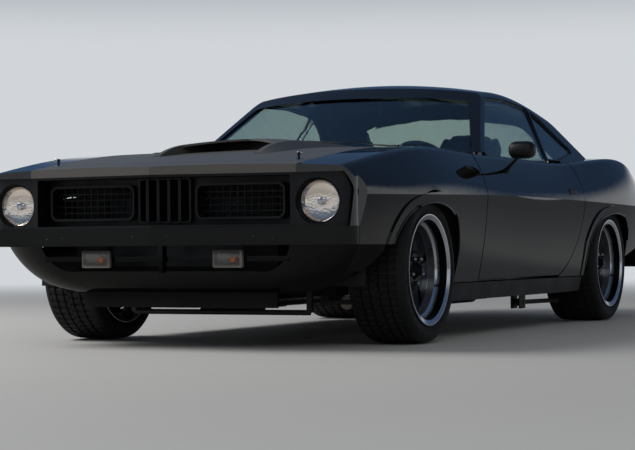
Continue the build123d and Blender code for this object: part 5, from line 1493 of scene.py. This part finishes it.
@dataclass
class TailTrim(Maker):
    """The bright frame and the lens ribs of each tail lamp."""

    low_x: float = 330.0
    high_x: float = 720.0
    low_z: float = 640.0
    high_z: float = 770.0
    frame_y: tuple[float, float] = (2338.0, 2353.0)
    frame_w: float = 8.0
    frame_bevel: float = 2.5
    rib_y: tuple[float, float] = (2344.0, 2351.0)
    ribs: int = 9

    def bezel(self) -> Piece:
        """The frame round the left lamp: a block whose middle is sunk right through."""
        w = self.frame_w
        block = slab((self.low_x - w, self.frame_y[0], self.low_z - w),
                     (self.high_x + w, self.frame_y[1], self.high_z + w), self.frame_bevel)
        enter(block)
        pick(block, Pick.FACE, lambda face: abs(face.normal.y) > 0.98)
        bpy.ops.mesh.inset(thickness=(w - self.frame_bevel) * MM)
        bpy.ops.mesh.bridge_edge_loops()
        return block

    def build(self) -> None:
        """Dresses both lamps."""
        self.shop.pair(self.bezel(), "tail_lamp_bezel", "chassis_steel", CHROME)
        step = (self.high_z - self.low_z) / self.ribs
        ribs = [slab((self.low_x + 3, self.rib_y[0], self.low_z + 1.2 + step * n),
                     (self.high_x - 3, self.rib_y[1], self.low_z - 1.2 + step * (n + 1)), bevel=2.6)
                for n in range(self.ribs)]
        self.shop.pair(joined(ribs), "tail_lamp_ribs", "red_lens", RED_LENS)


@dataclass
class DialCluster(Maker):
    """Dials with bright rings under the dashboard's hood, and the steering wheel's pad."""

    dials: tuple[tuple[float, float], ...] = ((302.0, 43.0), (438.0, 43.0), (370.0, 22.0))
    z: float = 785.0
    y: float = -396.0
    hub: Point = (370.0, -250.0, 790.0)
    tilt: Point = (0.0, 0.9, 0.42)

    def build(self) -> None:
        """Makes the dials, their rings and the pad."""
        faces = []
        rings = []
        for x, r in self.dials:
            seat = along(BACKWARDS, mm(x, self.y, self.z), LEFT)
            face = turned([(0, -2), (r - 2, -2), (r - 2, 4), (r - 8, 3), (r * 0.2, 3), (r * 0.16, 6),
                           (0, 6.5), (0, -2)], segments=40)
            ring = turned([(r - 2, -2), (r + 2, -2), (r + 2, 7), (r, 9), (r - 2, 7), (r - 2, -2)],
                          segments=40)
            faces.append(placed(face, seat))
            rings.append(placed(ring, seat))
        self.shop.hand_over(joined(faces), "dial_faces", "interior", GAUGE)
        self.shop.hand_over(joined(rings), "dial_rings", "chassis_steel", CHROME)
        pad = turned([(0, 10), (50, 10), (54, 16), (54, 22), (46, 30), (24, 34), (0, 35), (0, 10)],
                     segments=40)
        placed(pad, along(self.tilt, mm(*self.hub), LEFT))
        self.shop.hand_over(pad, "steering_wheel_pad", "interior", LEATHER)


@dataclass
class LinkBracket(Maker):
    """The trailing link's bracket under each sill and the link behind it."""

    x: float = 700.0
    apart: float = 22.0
    plate: float = 6.0
    plate_y: tuple[float, float] = (238.0, 333.0)
    plate_z: tuple[float, float] = (98.0, 205.6)
    pin: tuple[float, float] = (300.0, 130.0)
    run: Point = (0.0, 627.0, -6.0)

    def build(self) -> None:
        """Makes the brackets and links of both sides."""
        pieces = []
        for middle in (self.x - self.apart, self.x + self.apart):
            plate = slab((middle - self.plate / 2, self.plate_y[0], self.plate_z[0]),
                         (middle + self.plate / 2, self.plate_y[1], self.plate_z[1]), bevel=1.5)
            enter(plate)
            pick_facing(plate, DOWNWARDS)
            bpy.ops.transform.translate(value=(0.0, 0.018, 0.0))
            bpy.ops.transform.resize(value=(1.0, 0.55, 1.0))
            pieces.append(plate)
        spot = mm(self.x, *self.pin)
        pin = turned([(0, -30), (11, -30), (11, -25), (8, -25), (8, 25), (11, 25), (11, 30), (0, 30),
                      (0, -30)], segments=20)
        link = turned([(0, 0), (20, 0), (21, 10), (14, 30), (12, 60), (12, 560), (14, 600), (20, 616),
                       (0, 620), (0, 0)], segments=24)
        pieces += [placed(pin, along(LEFT, spot, BACKWARDS)), placed(link, along(self.run, spot, LEFT))]
        self.shop.pair(joined(pieces), "trailing_link", "chassis_steel", CHASSIS)


@dataclass
class Wipers(Maker):
    """Two parked wiper arms along the foot of the windshield."""

    arms: tuple[tuple[float, float], ...] = ((420.0, -60.0), (-60.0, -520.0))
    above_foot: tuple[float, float] = (18.0, 68.0)
    blade_r: float = 5.0
    first_y: float = -800.0
    step: float = 5.0
    steps: int = 140

    def build(self) -> None:
        """Lays both arms on the glass."""
        pieces = []
        r = self.blade_r
        for ends in self.arms:
            start, end = (self.on_glass(x, up) for x, up in zip(ends, self.above_foot))
            run = end - start
            reach = run.length / MM
            arm = turned([(0, -14), (r * 2, -12), (r * 2.2, 4), (r, 22), (r * 0.9, reach - 12),
                          (r * 0.6, reach), (0, reach), (0, -14)], segments=16)
            pieces.append(placed(arm, along(run, start, UPWARDS)))
        self.shop.hand_over(joined(pieces), "wiper_arms", "black_trim", BLACK_TRIM)

    def on_glass(self, x: float, up: float) -> Vector:
        """Finds a place just off the windshield, a little above its lower edge.

        Args:
            x: Place across the car.
            up: How far behind the glass's lower edge it lies.

        Returns:
            The place, in metres.
        """
        glass = self.shop.frame["nodes"]["windshield"]
        for number in range(self.steps):
            y = self.first_y + number * self.step
            if glass.ray_cast(Vector((x * MM, y * MM, 2.0)), Vector(DOWNWARDS))[0]:
                point, normal = self.shop.top_of("windshield", x * MM, (y + up) * MM)
                return point + normal * (self.blade_r + 2.0) * MM
        raise RuntimeError("the windshield isn't under the wipers")


@dataclass
class SillSeal(Maker):
    """The rubber door seal that stands along each sill inside the door."""

    low: Point = (741.0, -690.0, 225.3)
    high: Point = (758.0, 858.0, 290.0)
    lean: float = 4.0

    def build(self) -> None:
        """Makes both seals."""
        seal = slab(self.low, self.high, bevel=7.0)
        enter(seal)
        pick_facing(seal, UPWARDS)
        bpy.ops.transform.translate(value=(self.lean * MM, 0.0, 0.0))
        self.shop.pair(seal, "sill_seal", "black_trim", GASKET)


@dataclass(frozen=True)
class Softbox:
    """One soft lamp that looks at the car: its place and width in metres, and its power in watts."""

    name: str
    place: Point
    power: float
    wide: float = 6.0
    high: float = 3.6
    aim: Point = (0.0, 0.0, 0.5)

    def build(self) -> None:
        """Puts the lamp into the scene."""
        data = bpy.data.lights.new(self.name, "AREA")
        data.shape = "RECTANGLE"
        data.size = self.wide
        data.size_y = self.high
        data.energy = self.power
        lamp = linked(self.name, data)
        lamp.location = self.place
        lamp.rotation_euler = (Vector(self.aim) - Vector(self.place)).to_track_quat("-Z", "Y").to_euler()


@dataclass
class Studio:
    """The camera, the pale floor and the soft lights, in metres.

    Between the two heights in `horizon` the backdrop turns into the ceiling, and between the two
    distances in `fade` the floor turns into the backdrop.
    """

    eye: Point = (4.0624, -9.4081, 0.4325)
    yaw_deg: float = 25.01
    pitch_deg: float = 0.626
    roll_deg: float = -0.428
    lens_mm: float = 110.0
    sensor_mm: float = 36.0
    floor_size: float = 120.0
    floor_colours: tuple[str, str] = ("#b4b2ae", "#bab8b4")
    back_colour: str = "#d6dade"
    ceiling_colour: str = "#40597a"
    horizon: tuple[float, float] = (0.10, 0.18)
    fade: tuple[float, float] = (4.5, 15.0)
    seen_glow: float = 0.95
    cast_glow: float = 0.36
    softboxes: tuple[Softbox, ...] = (Softbox("key_softbox", (-6.5, -3.5, 6.5), 800.0),
                                      Softbox("fill_softbox", (5.0, -8.0, 6.0), 120.0))

    def camera(self) -> None:
        """Puts the camera at the photograph's place."""
        yaw, pitch, roll = (math.radians(v) for v in (self.yaw_deg, self.pitch_deg, self.roll_deg))
        forward = Vector((-math.sin(yaw) * math.cos(pitch), math.cos(yaw) * math.cos(pitch), math.sin(pitch)))
        level = forward.cross(Vector(UPWARDS)).normalized()
        rise = level.cross(forward)
        right = level * math.cos(roll) + rise * math.sin(roll)
        up = rise * math.cos(roll) - level * math.sin(roll)
        data = bpy.data.cameras.new("photo_camera")
        data.lens = self.lens_mm
        data.sensor_width = self.sensor_mm
        data.sensor_fit = "HORIZONTAL"
        data.clip_end = 500.0
        camera = linked("photo_camera", data)
        aim = Matrix((right, up, -forward)).transposed().to_4x4()
        camera.matrix_world = Matrix.Translation(self.eye) @ aim
        bpy.context.scene.camera = camera
        bpy.context.scene.view_settings.view_transform = "Standard"

    def floor(self) -> None:
        """Lays the pale floor, which keeps the car's shadow."""
        fresh()
        bpy.ops.mesh.primitive_plane_add(size=self.floor_size, location=(0, 0, 0))
        floor = bpy.context.object
        floor.name = "studio_floor"
        # Pale trowelled floor in two near greys; far from the car only the camera's own rays see
        # the backdrop's colour
        material, tree = blank_material("pale_studio_floor")
        place = add_node(tree, "ShaderNodeTexCoord").outputs["Object"]
        grey = blended(tree, noise(tree, place, 0.8, 4.0), *self.floor_colours)
        near = add_node(tree, "ShaderNodeBsdfPrincipled", {"Base Color": grey, "Roughness": 0.7})
        away = add_node(tree, "ShaderNodeVectorMath", {0: place}, operation="LENGTH").outputs["Value"]
        far = calculated(tree, "MULTIPLY", add_node(tree, "ShaderNodeLightPath").outputs["Is Camera Ray"],
                         eased(tree, away, self.fade))
        haze = add_node(tree, "ShaderNodeEmission",
                        {"Color": linear(self.back_colour), "Strength": self.seen_glow})
        cover = add_node(tree, "ShaderNodeMixShader",
                         {0: far, 1: near.outputs["BSDF"], 2: haze.outputs["Emission"]})
        add_node(tree, "ShaderNodeOutputMaterial", {"Surface": cover.outputs[0]})
        floor.data.materials.append(material)

    def lights(self) -> None:
        """Sets the world and the soft lamps. What the camera and mirrors see of the world casts no light."""
        world = bpy.data.worlds.new("soft_world")
        bpy.context.scene.world = world
        world.use_nodes = True
        tree = world.node_tree
        tree.nodes.clear()
        path = add_node(tree, "ShaderNodeLightPath").outputs
        through = calculated(tree, "MAXIMUM", path["Is Camera Ray"], path["Is Transmission Ray"])
        seen = calculated(tree, "MAXIMUM", through, path["Is Glossy Ray"])
        cast = add_node(tree, "ShaderNodeBackground",
                        {"Color": linear(self.back_colour), "Strength": self.cast_glow})
        rise = add_node(tree, "ShaderNodeSeparateXYZ",
                        {"Vector": add_node(tree, "ShaderNodeTexCoord").outputs["Generated"]}).outputs["Z"]
        room = blended(tree, eased(tree, rise, self.horizon), self.back_colour, self.ceiling_colour)
        back = add_node(tree, "ShaderNodeBackground", {"Color": room, "Strength": self.seen_glow})
        mix = add_node(tree, "ShaderNodeMixShader", {0: seen, 1: cast.outputs[0], 2: back.outputs[0]})
        add_node(tree, "ShaderNodeOutputWorld", {"Surface": mix.outputs[0]})
        for softbox in self.softboxes:
            softbox.build()


@dataclass
class Dresser:
    """Gives every CAD node its finish."""

    wheels: dict[str, float] = field(default_factory=lambda: {
        "wheel_front_left": -1.471, "wheel_front_right": -1.471, "wheel_rear_left": 1.272,
        "wheel_rear_right": 1.272})
    axle_z: float = 0.325
    slots: dict[str, Surface | Glass] = field(default_factory=lambda: {
        "gloss_paint": GLOSS_PAINT, "satin_paint": SATIN_PAINT, "black_trim": BLACK_TRIM,
        "interior": INTERIOR, "seat_leather": LEATHER, "window": WINDOW, "lamp_glass": LAMP_GLASS,
        "amber_lens": CLEAR_LENS, "red_lens": RED_LENS, "tyre": RUBBER, "wheel_metal": ZINC,
        "chassis_steel": CHASSIS, "underbody": UNDERCOAT, "block_metal": CAST_IRON, "exhaust_steel": EXHAUST,
        "radiator_metal": RADIATOR})
    nodes: dict[str, Surface] = field(default_factory=lambda: {
        "front_bumper": BLACK_ENAMEL, "rear_bumper": BLACK_ENAMEL, "front_valance": BLACK_ENAMEL})

    def dress(self, shop: Workshop) -> None:
        """Assigns the materials by the record's slots.

        Args:
            shop: Holds the frame and the finishes.
        """
        slot_of = {row["node"]: row["material_slot"] for row in shop.frame["record"]["subparts"]}
        for name, node in shop.frame["nodes"].items():
            if name in self.wheels:
                finish = WheelMetal("two_tone_" + name, self.wheels[name], self.axle_z)
            else:
                finish = self.nodes.get(name, self.slots[slot_of[name]])
            node.data.materials.clear()
            node.data.materials.append(shop.palette.of(finish))
            LOG.info("dressed %s", name)


def main() -> None:
    """Builds the scene in order."""
    logging.basicConfig(level=logging.INFO)
    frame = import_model()
    studio = Studio()
    studio.camera()
    studio.floor()
    studio.lights()
    shop = Workshop(frame)
    Dresser().dress(shop)
    for maker in (WheelSet, Headlamp, ParkLamp, GrilleMesh, HoodPins, BumperBolts, WindowRubber, DoorTrim,
                  CabinMirror, DoorMirrorGlass, FrontSeat, RearBench, ArchBead, DoorMirrorShell, TailTrim,
                  DialCluster, LinkBracket, Wipers, SillSeal):
        maker(shop).build()


if __name__ == "__main__":
    main()
